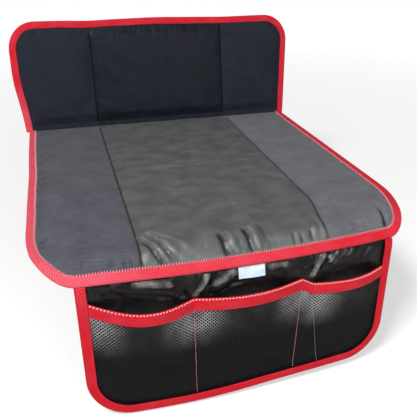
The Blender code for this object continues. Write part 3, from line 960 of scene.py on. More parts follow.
# The ridge colour here is a bright painted highlight on the black apron's folds
APRON_GLOSS = CoatedFinish(
    "apron_cloth", "coated_cover", (0.004, 0.0038, 0.0038), 0.24, lighter=(0.018, 0.014, 0.014),
    ridge=(0.25, 0.242, 0.238), specular=0.28,
)
RED_TAPE = TapeFinish("red_binding_tape", "binding_tape", (0.7, 0.012, 0.027), 0.7)
PINK_THREAD = ThreadFinish("pale_red_thread", "binding_tape", (0.88, 0.44, 0.47), 0.6, other=(0.82, 0.16, 0.2))
PICOT_THREAD = ThreadFinish("pale_picot_thread", "binding_tape", (0.95, 0.62, 0.62), 0.6, other=(0.9, 0.3, 0.32))
RED_THREAD = ThreadFinish("red_thread", "binding_tape", (0.66, 0.03, 0.05), 0.6, other=(0.45, 0.01, 0.02))
WHITE_THREAD = ThreadFinish("pale_thread", "pocket_net", (0.42, 0.36, 0.36), 0.6, other=(0.3, 0.12, 0.13))
DARK_THREAD = ThreadFinish("dark_thread", "woven_cover", (0.012, 0.012, 0.016), 0.6, other=(0.03, 0.03, 0.036))
NET_STRAND = NetFinish("net_strand", "pocket_net", (0.006, 0.006, 0.006), 0.6)
SATIN = SatinFinish("pale_satin", "label_satin", (0.42, 0.6, 0.76), 0.38)
FOAM_BOARD = FoamFinish("white_foam", "foam_board", (0.75, 0.75, 0.72), 0.9)
KNIT = KnitFinish("grip_cloth", "grip_backing", (0.022, 0.022, 0.024), 0.85)
RUBBER = RubberFinish("grip_rubber", "grip_backing", (0.03, 0.03, 0.032), 0.5)


@dataclass
class ClothMove:
    """How a cloth that is held at its seams buckles between them, found by a cloth simulation.

    The flat pattern is simulated as an even grid that wants to be a little larger than it is and is
    pushed out from beneath. Its movement is kept, softly capped, and read between the grid's points.
    """

    panel: Panel
    held: Heights
    step: float
    growth: float
    pressure: float
    cap: float
    seed: int

    def __post_init__(self) -> None:
        reach = max(self.panel.half_start, self.panel.half_end)
        self.columns = round(2 * reach / self.step) + 1
        self.rows = round(self.panel.length / self.step) + 1
        self.lines_across = np.linspace(-reach, reach, self.columns)
        self.lines_along = np.linspace(0.0, self.panel.length, self.rows)
        self.moves = np.zeros((self.rows, self.columns, 3))
        self.simulate()

    def simulate(self) -> None:
        """Runs the cloth for CLOTH_FRAMES frames and keeps how far each point has moved."""
        across, along = np.meshgrid(self.lines_across, self.lines_along)
        start = stack(across, along, 0.0002 * noise(across, along, 0.021, self.seed))
        mesh = bpy.data.meshes.new("cloth_run")
        mesh.from_pydata(start.reshape(-1, 3), [], grid_quads(self.rows, self.columns).tolist())
        piece = link("cloth_run", mesh)
        group = piece.vertex_groups.new(name="held")
        held = self.held(across, along).ravel()
        group.add(np.flatnonzero(held > 0.5).tolist(), 1.0, "REPLACE")
        settings = piece.modifiers.new("cloth", "CLOTH").settings
        own = {"vertex_group_mass": "held", "shrink_min": -self.growth, "uniform_pressure_force": self.pressure}
        for key, value in {**CLOTH, **own}.items():
            setattr(settings, key, value)
        settings.effector_weights.gravity = 0.0
        scene = bpy.context.scene
        for number in range(1, CLOTH_FRAMES + 1):
            scene.frame_set(number)
        shown = piece.evaluated_get(bpy.context.evaluated_depsgraph_get())
        ended = np.zeros(len(mesh.vertices) * 3, np.float32)
        shown.data.vertices.foreach_get("co", ended)
        moves = ended.reshape(start.shape).astype(float) - start
        far = np.linalg.norm(moves, axis=-1, keepdims=True)
        LOG.info("cloth of %s moved up to %.1f mm", type(self.panel).__name__, 1000 * far.max())
        self.moves = moves * self.cap * np.tanh(far / self.cap) / np.maximum(far, 1e-9)
        bpy.data.objects.remove(piece, do_unlink=True)
        bpy.data.meshes.remove(mesh)
        scene.frame_set(1)

    def at(self, across: Array, along: Array) -> Array:
        """The movement at points of the pattern: a blend of the grid's four nearest."""
        x = (across - self.lines_across[0]) / (self.lines_across[1] - self.lines_across[0])
        y = along / self.lines_along[1]
        x, y = np.clip(x, 0, self.columns - 1.001), np.clip(y, 0, self.rows - 1.001)
        i, j = x.astype(int), y.astype(int)
        result = 0.0
        for di, dj in ((0, 0), (1, 0), (0, 1), (1, 1)):
            share = (1 - np.abs(x - i - di)) * (1 - np.abs(y - j - dj))
            result = result + share[..., None] * self.moves[j + dj, i + di]
        return result


@dataclass(frozen=True)
class Relief:
    """What the cloth of a pad shows over its plain crowned form."""

    folds: Tuple[Fold, ...] = ()
    pulls: Tuple[Pull, ...] = ()
    pressed_along: Tuple[float, ...] = ()
    pressed_across: Tuple[float, ...] = ()
    drift: float = 0.0
    crown: float = 0.0018
    ripple: float = 0.0005
    pucker: float = 0.0008
    seed: int = 1


@dataclass
class Pad:
    """A bound pad: three cover sections over a foam board, with grip cloth and dots beneath."""

    name: str
    panel: Panel
    relief: Relief
    side_finishes: Tuple[Finish, Finish]
    middle_finish: Finish
    move: ClothMove
    step: float = 0.0024

    def seam(self, side: int, along: Array) -> Array:
        """How far a seam lies from the middle; the right one drifts in towards the front by relief.drift."""
        drift = self.relief.drift * smooth((along - self.panel.length + 0.1) / 0.08)
        return SEAM_X - drift * (side > 0)

    def from_seam(self, across: Array, along: Array) -> Array:
        """Distance to the nearer seam."""
        return np.minimum(np.abs(across - self.seam(1, along)), np.abs(across + self.seam(-1, along)))

    def top(self, across: Array, along: Array) -> Array:
        """Height of the cover's upper side.

        A flat held rim, then a smooth rise to the full thickness, with a dip at each seam and pressed
        line. Over that lie a crown between the seams, folds, pulls, gathers near the tape and ripples.

        Args:
            across: Places across the pattern.
            along: Places along it.

        Returns:
            Heights over the pad's underside.
        """
        relief, seed = self.relief, self.relief.seed
        distance = self.panel.edge_distance(across, along)
        full = pillow(distance)
        near = smooth((distance - HELD + 0.0005) / 0.005)
        from_seam = self.from_seam(across, along)
        lines = [from_seam]
        lines += [np.abs(across - line) for line in relief.pressed_across]
        lines += [np.abs(along - line) for line in relief.pressed_along]
        dip = np.max([1 - smooth(line / SEAM_REACH) for line in lines], axis=0)
        stitch = 0.5 + 0.5 * np.cos(along * math.pi / SEAM_PITCH)
        valley = SEAM_GROOVE[0] * bell(from_seam, SEAM_GROOVE[1])
        valley += SEAM_DENT[0] * stitch * bell(from_seam, SEAM_DENT[1])
        crown = relief.crown * smooth(from_seam / 0.045) * smooth((distance - HELD) / 0.05)
        ripple = noise(across, along, 0.034, seed) + 0.45 * noise(across, along, 0.016, seed + 1)
        height = PAD_THICKNESS - EDGE_TOP - SEAM_DIP * dip - valley + crown
        height += relief.ripple * ripple * (1 - 0.6 * dip)
        height += relief.pucker * self.gather(across, along) * self.near_tape(across, along)
        folded = total(relief.folds, across, along) + total(relief.pulls, across, along)
        return EDGE_TOP + height * full + np.where(folded > 0, folded * near, folded * full)

    def near_tape(self, across: Array, along: Array) -> Array:
        """A band beside the tape, where the cloth is gathered."""
        return bell(self.panel.edge_distance(across, along) - HELD - EDGE_RIM - 0.003, 0.009)

    def gather(self, across: Array, along: Array) -> Array:
        """Noise drawn out at right angles to the nearest side: in from the far edge, or in from a side."""
        seed = self.relief.seed
        ahead = noise(across, 0.25 * along, 0.0062, seed + 3) + 0.6 * noise(across, 0.3 * along, 0.0034, seed + 4)
        aside = noise(0.25 * across, along, 0.0075, seed + 5) + 0.5 * noise(0.3 * across, along, 0.004, seed + 6)
        beside = self.panel.side(along) - np.abs(across)
        share = smooth((beside - self.panel.length + along) / 0.04 + 0.5)
        return share * ahead + (1 - share) * aside

    def fold(self, across: Array, along: Array) -> Array:
        """The folds and gathers alone, from -1 in a deep valley to 1 on a high ridge."""
        near = smooth((self.panel.edge_distance(across, along) - HELD + 0.001) / 0.004)
        seam = bell(self.from_seam(across, along), 0.0011)
        gathers = 0.42 * self.gather(across, along) * self.near_tape(across, along)
        folded = total(self.relief.folds, across, along) / 0.0030
        return np.clip((folded - 0.9 * seam + gathers) * near, -1, 1)

    def cover(self, part: str, across: Array, along: Array, finish: Finish) -> None:
        """One cover section from a grid of pattern places."""
        moved = self.move.at(across, along)
        free = self.free(across, along)
        height = self.top(across, along) + moved[..., 2] * free
        shifted = across + moved[..., 0] * free, along + moved[..., 1] * free
        outer = self.panel.place(*shifted, height)
        inner = self.panel.place(*shifted, height - 0.9 * COVER)
        # The fold value sets painted shade in the cover's valleys and along its seams, and a painted highlight on its
        # ridges
        values = {"fold": self.fold(across, along)}
        made = shell(f"{self.name}_{part}_cloth", outer, inner, stack(across, along), finish, values)
        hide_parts(f"{self.name}_cover_{part}")

    def free(self, across: Array, along: Array) -> Array:
        """Where the cover may move: 0 at the tape and the seams, 1 away from them."""
        share = swell(self.panel.edge_distance(across, along))
        return share * smooth((self.from_seam(across, along) - SEAM_GAP) / 0.012)

    def rows(self) -> Array:
        """Rows along the pad, closer together at the crease, on the rise and round the corners."""
        straight = self.panel.length - self.panel.corner_along
        start = np.linspace(0.0, FOAM_INSET, 16)[:-1]
        middle = np.linspace(FOAM_INSET, straight, max(2, round((straight - FOAM_INSET) / self.step)) + 1)[:-1]
        count = round(self.panel.corner_along / self.step * 1.5)
        corner = straight + self.panel.corner_along * np.sin(np.linspace(0, math.pi / 2, count + 1))
        return np.concatenate([start, middle, corner])

    def build(self) -> None:
        """Makes the covers, the foam, the backing with its dots, and the thread of the seams."""
        rows = self.rows()
        for part, side, finish in (("left", -1, self.side_finishes[0]), ("right", 1, self.side_finishes[1])):
            share = graded(0.0, 1.0, 0.022, 0.2, (True, True))
            half = self.panel.half(rows)[:, None]
            inner = self.seam(side, rows)[:, None] + SEAM_GAP / 2
            across = side * (half + (inner - half) * share[None, :])
            along = np.repeat(rows[:, None], across.shape[1], axis=1)
            self.cover(part, across, along, finish)
        edge = SEAM_X - SEAM_GAP / 2
        lines = graded(-edge, edge, self.step, 0.006, (True, True))
        lengths = graded(0.0, self.panel.length, self.step, 0.03, (True, True))
        across, along = np.meshgrid(lines, lengths)
        share = (self.seam(1, along) - SEAM_GAP / 2) / edge
        across = np.where(across > 0, across * share, across)
        self.cover("centre", across, along, self.middle_finish)
        self.foam()
        self.backing()
        self.seam_thread()

    def foam(self) -> None:
        """The foam board, its edges rounded, pressed in a little along the seams."""
        lines = graded(FOAM_EDGE, self.panel.length - FOAM_EDGE, 0.005, 0.03, (True, True))
        shares = graded(-1.0, 1.0, 0.02, 0.1, (True, True))
        across, along = self.panel.grid(lines, shares, FOAM_EDGE)
        inside = np.maximum(0.0, self.panel.edge_distance(across, along) - FOAM_EDGE)
        round_off = FOAM_ROUND * (1 - np.sqrt(1 - (1 - np.minimum(inside / FOAM_ROUND, 1.0)) ** 2))
        cover = self.top(across, along) + self.move.at(across, along)[..., 2] * self.free(across, along)
        upper = np.minimum(FOAM_HEIGHT + FOAM - round_off, cover - 1.5 * COVER)
        outer = self.panel.place(across, along, upper)
        inner = self.panel.place(across, along, np.minimum(FOAM_HEIGHT + 0.0001 + round_off, upper - 0.0002))
        made = shell(f"{self.name}_foam_core", outer, inner, stack(across, along), FOAM_BOARD)
        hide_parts(f"{self.name}_foam")

    def backing(self) -> None:
        """The grip cloth beneath, flat where it lies and lifted at the tape, and its printed dots."""
        rows = self.rows()
        shares = graded(-1.0, 1.0, 0.022, 0.16, (True, True))
        across, along = self.panel.grid(rows, shares)
        lift = EDGE_LIFT * (1 - swell(self.panel.edge_distance(across, along)))
        outer = self.panel.place(across, along, lift)
        inner = self.panel.place(across, along, lift + 0.9 * BACKING)
        made = shell(f"{self.name}_grip_cloth", outer, inner, stack(across, along), KNIT)
        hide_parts(f"{self.name}_backing")
        dots = self.dots()

    def dots(self) -> Piece:
        """Low rubber domes in a staggered pattern: two rings of 8 and a top."""
        reach, length = self.panel.half_start - FOAM_INSET, self.panel.length - FOAM_INSET
        apart = 0.866 * DOT_PITCH
        columns, lines = np.meshgrid(np.arange(-reach, reach, DOT_PITCH), np.arange(FOAM_INSET, length, apart))
        columns = columns + DOT_PITCH / 2 * (np.arange(len(lines)) % 2)[:, None]
        across, along = columns.ravel(), lines.ravel()
        fits = self.panel.edge_distance(across, along) > FOAM_INSET
        across, along = across[fits], along[fits]
        centre = self.panel.place(across, along, 0 * along)
        up = unit(self.panel.place(across, along, 0 * along + 0.01) - centre)
        side = np.tile([1.0, 0.0, 0.0], (len(up), 1))
        angle = np.arange(8) * math.pi / 4
        rings = [(DOT_RADIUS, 0.0), (0.72 * DOT_RADIUS, -0.7 * DOT_HEIGHT)]
        template = np.array([(r * math.cos(a), r * math.sin(a), z) for r, z in rings for a in angle])
        template = np.concatenate([template, [(0.0, 0.0, -DOT_HEIGHT)]])
        ring, after = ring_of(8)
        quads = np.stack([ring, after, after + 8, ring + 8], axis=1)
        tips = np.stack([ring + 8, after + 8, np.full(8, 16)], axis=1)
        floor = [np.array([ring[::-1]])]
        return repeated(f"{self.name}_grip_dots", template, [quads, tips, *floor], centre, side, up, RUBBER)

    def seam_thread(self) -> None:
        """A row of small stitches beside each seam, on the side sections."""
        for part, side in (("left", -1), ("right", 1)):
            along = np.arange(HELD + 0.004, self.panel.length - HELD - 0.002, SEAM_PITCH)
            across = side * (self.seam(side, along) + 0.0022)

            def surface(a: Array, l: Array) -> Array:
                """The cover's upper side at pattern places."""
                return self.panel.place(a, l, self.top(a, l) + 0.0001)

            name = f"{self.name}_seam_thread_{part}"
            stitch_row(name, surface, across, along, (0.0, 1.0), SEAM_STITCH, DARK_THREAD)


def repeated(
    name: str, template: Array, faces: Sequence[Array], centre: Array, along: Array, up: Array, finish: Finish
) -> Piece:
    """One small shape set many times: centre + x along + y (up x along) + z up.

    Args:
        name: The piece's name.
        template: The shape's points.
        faces: Its faces.
        centre: Where each copy goes.
        along: Each copy's first direction.
        up: Each copy's third direction.
        finish: What it is made of.

    Returns:
        All copies as one object.
    """
    side = unit(np.cross(up, along))
    first = np.cross(side, up)
    points = (
        centre[:, None]
        + template[None, :, :1] * first[:, None]
        + template[None, :, 1:2] * side[:, None]
        + template[None, :, 2:] * up[:, None]
    )
    offsets = (np.arange(len(centre)) * len(template))[:, None, None]
    groups = [(group[None] + offsets).reshape(-1, group.shape[1]) for group in faces]
    return make_mesh(name, points.reshape(-1, 3), groups, finish)


@dataclass(frozen=True)
class Stitch:
    """A stitch's length, half its thickness, and its turn from the row one way and the other, in radians."""

    length: float
    radius: float
    slant: float


SEAM_STITCH = Stitch(0.0024, 0.00022, 0.0)
DIVIDER_STITCH = Stitch(0.0025, 0.00025, 0.12)
PICOT = Stitch(0.0026, 0.00068, 0.5)
HEM_STITCH = Stitch(0.0026, 0.00027, 0.6)


def stitch_row(
    name: str,
    surface: Heights,
    across: Array,
    along: Array,
    direction: Tuple[Array, Array],
    stitch: Stitch,
    finish: Finish,
) -> Piece:
    """Stitches on a surface: short rounded bars whose ends dip into the cloth.

    The side that they stand on is the one that looks up or to the front.

    Args:
        name: The piece's name.
        surface: Carries pattern places to the cloth's upper side.
        across: Where each stitch is.
        along: Where each stitch is.
        direction: The row's direction on the pattern, which every other stitch leaves by the slant.
        stitch: One stitch's form.
        finish: The thread.

    Returns:
        The row as one object.
    """
    length, radius = stitch.length, stitch.radius
    centre = surface(across, along)
    by_across, by_along = slopes(surface, across, along, PROBE)
    up = unit(np.cross(by_across, by_along))
    up = up * np.sign(up @ np.array([0.0, -1.0, 1.0]))[:, None]
    ahead = unit(by_across * np.reshape(direction[0], (-1, 1)) + by_along * np.reshape(direction[1], (-1, 1)))
    away = np.cross(up, ahead)
    turn = stitch.slant * (1 - 2 * (np.arange(len(across)) % 2))[:, None]
    ahead = ahead * np.cos(turn) + away * np.sin(turn)
    angle = np.arange(6) * math.pi / 3
    template, half = [(-length / 2, 0.0, -radius)], length / 2
    for share, wide in ((-0.86, 0.62), (-0.4, 1.0), (0.4, 1.0), (0.86, 0.62)):
        sink = radius * (0.5 - 0.9 * share**4)
        template += [(share * half, wide * radius * math.cos(a), sink + wide * radius * math.sin(a)) for a in angle]
    template.append((length / 2, 0.0, -radius))
    ring, after = ring_of(6)
    bar = np.stack([1 + ring, 1 + after, 7 + after, 7 + ring], axis=1)
    bars = np.concatenate([bar + 6 * k for k in range(3)])
    head = np.stack([0 * ring, 1 + after, 1 + ring], axis=1)
    tail = np.stack([19 + ring, 19 + after, 0 * ring + 25], axis=1)
    return repeated(name, np.array(template), [bars, np.concatenate([head, tail])], centre, ahead, up, finish)


@dataclass(frozen=True)
class FoldedTape:
    """A tape's section folded over an edge: a leg, a half turn and a leg, as an outer and an inner skin."""

    low: float
    high: float
    width: float
    back_width: float

    def skins(self) -> Tuple[Array, Array, Array]:
        """The section's two skins as (inward, height) points, and the distance along the outer one.

        The legs are straight and thin out at their ends. The turn is a half circle about the middle.

        Returns:
            Outer skin, inner skin, distance.
        """
        middle, radius = (self.low + self.high) / 2, (self.high - self.low) / 2
        leg = self.width * (1 - np.linspace(0.0, 1.0, 12)[:-1] ** 1.6)
        angle = np.linspace(math.pi / 2, 3 * math.pi / 2, 13)
        back = self.back_width * np.linspace(0.0, 1.0, 8)[1:]
        inward = np.concatenate([leg, radius * np.cos(angle), back])
        height = np.concatenate([np.full(len(leg), self.high), middle + radius * np.sin(angle), np.full(7, self.low)])
        across = np.concatenate([np.zeros(len(leg)), np.cos(angle), np.zeros(7)])
        upward = np.concatenate([np.ones(len(leg)), np.sin(angle), -np.ones(7)])
        thin = np.full(len(inward), TAPE / 2)
        outer_thin = thin.copy()
        outer_thin[:2] = (0.0, TAPE * 0.3)
        outer_thin[-1] = 0.0
        outer = stack(inward + across * outer_thin, height + upward * outer_thin)
        inner = stack(inward - across * thin, height - upward * thin)
        return outer, inner, run_length(outer)


@dataclass
class Binding:
    """Red tape folded over a panel's edge and sewn down with short stitches over its inner edge."""

    name: str
    node: str
    panel: Panel
    tape: FoldedTape
    start: float
    # Share of painted sunlight on the tape at pattern places
    ramp: Heights
    seed: int
    sewn: Finish
    beside: Optional[Heights] = None
    narrow: float = 0.0
    offset: float = 0.0005
    reach: float = 0.0036
    step: float = 0.0023

    def build(self) -> List[Piece]:
        """Carries the folded section round the outline, and sets the stitches on it."""
        stations = self.panel.outline(self.step, self.start)
        outer, inner, gone = self.tape.skins()
        distance = stations.distance[:, None]
        wide = self.wide(stations)[:, None]
        pinch = bell(outer[None, :, 0] - (self.tape.width - 0.0016), 0.0011) * (outer[None, :, 1] > self.tape.high)
        wave = 0.6 + 0.4 * np.cos(distance * 2 * math.pi / TAPE_PITCH)
        puff = TAPE_PUFF * np.sin(np.clip(outer[None, :, 0] / self.tape.width, 0, 1) * math.pi)
        puff = puff * (1 + 0.7 * noise(distance, outer[None, :, 0], 0.009, self.seed + 1))
        raised = np.where(outer[None, :, 1] > self.tape.high, puff - TAPE_DENT * pinch * wave, 0.0)
        skins = []
        for skin, lift in ((outer, raised), (inner, 0.0)):
            inward = np.where(skin[None, :, 0] > 0, skin[None, :, 0] * wide, skin[None, :, 0] + 0 * wide)
            across, along = stations.inside(inward)
            skins.append(self.panel.place(across, along, skin[None, :, 1] + lift + 0 * across))
        across, along = stations.inside(outer[None, :, 0])
        uv = stack(distance + 0 * across, gone[None, :] + 0 * across)
        # The tape carries its share of painted sunlight
        ramp = {"ramp": self.ramp(across, along)}
        made = shell(self.name, *skins, uv, RED_TAPE, ramp)
        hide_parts(self.node)
        return [made, self.thread()]

    def wide(self, stations: Outline) -> Array:
        """The upper leg's width as a share: it wanders a little, and is less where the left side rolls away."""
        wander = 0.03 * noise(stations.distance, stations.distance * 0, 0.017, self.seed)
        left = smooth((-stations.across - 0.19) / 0.03) * smooth((0.44 - stations.along) / 0.05)
        return 1 + wander - self.narrow * left

    def thread(self) -> Piece:
        """Stitches across the tape's inner edge, from its upper side down to the cloth beside it."""
        stations = self.panel.outline(TAPE_PITCH, self.start + 0.003)
        wander = 0.0003 * noise(stations.distance, 0 * stations.distance, 0.005, self.seed + 2)
        edge = self.tape.width * self.wide(stations) + self.offset
        across = stations.across + stations.in_across * (edge + wander)
        along = stations.along + stations.in_along * (edge + wander)
        upper, lower = self.tape.high + TAPE / 2, self.tape.high - TAPE_SEAT

        def surface(a: Array, l: Array) -> Array:
            """Falls from the tape's upper side to the cloth over the length of a stitch."""
            inward = self.panel.edge_distance(a, l) - edge
            cloth = self.beside(a, l) + 0.0001 if self.beside else lower
            return self.panel.place(a, l, cloth + (upper - cloth) * smooth(0.5 - inward / self.reach))

        ahead = (stations.in_across, stations.in_along)
        stitch = Stitch(self.reach, 0.0005, 0.2)
        return stitch_row(f"{self.name}_thread", surface, across, along, ahead, stitch, self.sewn)


@dataclass
class Pockets:
    """The apron's three net pockets: their walls, sag, swell, hem, net and dividing seams."""

    panel: ApronPanel
    dividers: Tuple[float, ...] = DIVIDERS
    swells: Tuple[float, ...] = (0.019, 0.015, 0.0, 0.014)
    sags: Tuple[float, ...] = (0.0033, -0.0026, 0.0, -0.003)
    hem_at_walls: Tuple[float, ...] = (0.0229, 0.0322, 0.0321, 0.042, 0.0392)
    pitch: float = 0.00305
    strand: Tuple[float, float] = (0.0004, 0.00024)

    @property
    def walls(self) -> Tuple[float, ...]:
        """Where the net is held to the apron: tape, dividers, tape. The bay between the last two is flat."""
        edge = self.panel.half_start - HELD
        return (-edge, *self.dividers, edge)

    def arch(self, across: Array, heights: Sequence[float]) -> Array:
        """height x sin(pi x share) over each pocket, and 0 at its walls."""
        result = np.zeros_like(across)
        for left, right, height in zip(self.walls, self.walls[1:], heights):
            share = np.clip((across - left) / (right - left), 0.0, 1.0)
            result = result + height * np.sin(math.pi * share)
        return result

    def hem_top(self, across: Array) -> Array:
        """Where the hem starts below the front seam."""
        return np.interp(across, self.walls, self.hem_at_walls) + self.arch(across, self.sags)

    def out(self, across: Array, along: Array) -> Array:
        """How far the net stands off the apron: the arch, most at the hem and none at the foot."""
        top = self.hem_top(across)
        floor = self.panel.end(across, HELD)
        fall = 1 - smooth((along - top) / np.maximum(floor - top, 0.01))
        inside = np.abs(across) < self.walls[-1]
        return NET_OUT + np.where(inside, fall, 0.0) * self.arch(across, self.swells)

    def net_out(self, across: Array, along: Array) -> Array:
        """The net's own place: it is drawn in along the dividers' thread, below the hem."""
        below = smooth((along - self.hem_top(across) - HEM_WIDTH) / 0.008)
        above = smooth((self.panel.end(across, HELD) - along) / 0.01)
        drawn = max(0.0, NET_OUT - APRON_CLOTH / 2 - NET / 2 - 0.0001)
        away = np.min([np.abs(across - line(along)) for line in self.seam_lines()], axis=0)
        slack = 0.0006 * noise(across, along, 0.019, 41) * self.arch(across, (1.0, 1.0, 1.0))
        return self.out(across, along) + slack - drawn * bell(away, 0.0035) * below * above

    def seam_lines(self) -> List[Callable[[Array], Array]]:
        """The dividers' threads, across for a place along: one at the left, two that part at the right."""
        return [
            lambda along: self.dividers[0] + 0.01 * along,
            lambda along: self.dividers[1] + 0.001 - 0.045 * (along - 0.045),
            lambda along: self.dividers[2] - 0.002 + 0.14 * (along - 0.049),
        ]

    def surface(self, across: Array, along: Array) -> Array:
        """The net's middle layer in space."""
        return self.panel.place(across, along, self.net_out(across, along))

    def lit(self, across: Array, along: Array) -> Array:
        """How much painted light the net gets: most below the hem near the walls, none towards the foot."""
        below = along - self.hem_top(across) - HEM_WIDTH
        aside = np.min([np.abs(across - wall) for wall in self.walls[:-1]], axis=0)
        return smooth(1 - below / 0.058) * (0.07 + 0.93 * smooth(1 - aside / 0.046))

    def strands(self, forward: bool) -> Tuple[Array, Array, Array]:
        """One family of slanting strands as flat square tubes, over and under the other family.

        Lattice point (i, j) lies at across = (i + j) h and along = (j - i) h. A strand of the first
        family keeps i and runs with j; one of the second keeps j and runs with i.

        Args:
            forward: Whether it is the first family.

        Returns:
            Points, faces with four corners, and how much painted light each point gets.
        """
        half = self.pitch / math.sqrt(2)
        wide = int(self.panel.half_start / half) + 1
        deep = int(self.panel.length / half) + 1
        i, j = np.meshgrid(np.arange(-wide - deep, wide + 1), np.arange(-wide, wide + deep + 1), indexing="ij")
        across, along = (i + j) * half, (j - i) * half
        inside = (np.abs(across) < self.panel.half_start - NET_MARGIN) & (along < self.panel.end(across, NET_MARGIN))
        inside &= along > self.hem_top(across) + 0.004
        if not forward:
            across, along, inside, i = across.T, along.T, inside.T, i.T
        by_across, by_along = slopes(self.surface, across, along, NET_PROBE)
        up = unit(np.cross(by_along, by_across))
        ahead = unit(by_across + (1 if forward else -1) * by_along)
        side = np.cross(up, ahead)
        weave = 0.00022 * np.where((across / half).round() % 2 == 0, 1.0, -1.0) * (1 if forward else -1)
        centre = self.surface(across, along) + up * weave[..., None]
        flat, thick = self.strand
        ring = np.stack([centre + side * flat, centre + up * thick, centre - side * flat, centre - up * thick], axis=2)
        number = np.cumsum(inside.ravel()).reshape(inside.shape) - 1
        joined = inside[:, :-1] & inside[:, 1:]
        first, second = number[:, :-1][joined], number[:, 1:][joined]
        corner, after = ring_of(4)
        first, second = first[:, None] * 4, second[:, None] * 4
        walls = np.stack([first + corner, first + after, second + after, second + corner], axis=2).reshape(-1, 4)
        before = np.zeros_like(inside)
        before[:, 1:] = inside[:, :-1]
        beyond = np.zeros_like(inside)
        beyond[:, :-1] = inside[:, 1:]
        heads = number[inside & ~before & beyond][:, None] * 4 + corner[::-1]
        tails = number[inside & ~beyond & before][:, None] * 4 + corner
        lit = np.repeat(self.lit(across, along)[inside], 4)
        return ring[inside].reshape(-1, 3), np.concatenate([walls, heads, tails]), lit

    def net(self) -> Piece:
        """The net: both families of strands as one piece."""
        points, faces, lit = self.strands(True)
        others, more, other_lit = self.strands(False)
        used = np.unique(np.concatenate([faces.ravel(), more.ravel() + len(points)]))
        joined = np.concatenate([points, others])
        number = np.zeros(len(joined), int)
        number[used] = np.arange(len(used))
        every = number[np.concatenate([faces, more + len(points)])]
        values = {"lit": np.concatenate([lit, other_lit])[used]}
        made = make_mesh("net_of_pockets", joined[used], [every], NET_STRAND, values=values)
        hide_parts("pocket_net")
        return made

    def hem(self) -> List[Piece]:
        """The tape folded over the net's top edge, with its stitches."""
        radius = NET / 2 + TAPE_SEAT + HEM_EASE
        tape = FoldedTape(-radius, radius, HEM_WIDTH, HEM_WIDTH)
        outer, inner, gone = tape.skins()
        edge = self.walls[-1]
        lines = np.linspace(-edge, edge, round(2 * edge / 0.002) + 1)[:, None]
        skins = []
        for number, skin in enumerate((outer, inner)):
            inward, off = skin[None, :, 0], skin[None, :, 1]
            along = self.hem_top(lines) + TAPE_SEAT + inward
            swollen = self.out(lines + 0 * along, np.maximum(along, self.hem_top(lines)))
            wave = 0.6 + 0.4 * np.cos(lines * 2 * math.pi / HEM_DENT_PITCH)
            stitched = HEM_DENT * bell(inward - 0.0022, 0.0012) * wave
            skins.append(self.panel.place(lines + 0 * along, along, swollen + off - (stitched if number == 0 else 0)))
        uv = stack(lines + 0 * gone[None, :], gone[None, :] + 0 * lines)
        # The hem gets a low, even share of painted sunlight
        made = shell("hem_of_pockets", *skins, uv, RED_TAPE, {"ramp": np.full(uv.shape[:2], 0.08)})
        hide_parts("pocket_hem")

        def surface(a: Array, l: Array) -> Array:
            """The hem's front, and the half circle of its fold, at pattern places."""
            over = np.minimum(l - self.hem_top(a) - TAPE_SEAT, 0.0)
            round_off = np.sqrt(np.maximum((radius + TAPE / 2) ** 2 - over**2, 0.0))
            return self.panel.place(a, l, self.out(a, np.maximum(l, self.hem_top(a))) + round_off)

        across = np.arange(-edge + 0.002, edge - 0.001, HEM_PITCH)
        slope = (self.hem_top(across + 0.001) - self.hem_top(across - 0.001)) / 0.002
        rows = []
        for name, depth, stitch, finish in (
            ("upper", -0.001, PICOT, PICOT_THREAD),
            ("lower", HEM_WIDTH - 0.0016, HEM_STITCH, RED_THREAD),
        ):
            along = self.hem_top(across) + TAPE_SEAT + depth
            ahead = (np.ones_like(slope), slope)
            rows.append(stitch_row(f"hem_thread_{name}", surface, across, along, ahead, stitch, finish))
        return [made, *rows]

    def divider_thread(self) -> List[Piece]:
        """Running stitches that hold the net to the apron between the pockets."""
        made = []
        finishes = (PINK_THREAD, PINK_THREAD, WHITE_THREAD)
        for number, (line, finish) in enumerate(zip(self.seam_lines(), finishes)):
            start = float(self.hem_top(np.array([line(0.05)]))[0]) + HEM_WIDTH + 0.002
            along = np.arange(start, self.panel.length - HELD - 0.001, DIVIDER_PITCH)
            across = line(along)
            run = (line(along + 0.001) - line(along - 0.001)) / 0.002

            def surface(a: Array, l: Array) -> Array:
                """The net's front at pattern places."""
                return self.panel.place(a, l, self.net_out(a, l) + NET / 2)

            name = f"divider_thread_{number + 1}"
            ahead = (run, np.ones_like(run))
            made.append(stitch_row(name, surface, across, along, ahead, DIVIDER_STITCH, finish))
        return made


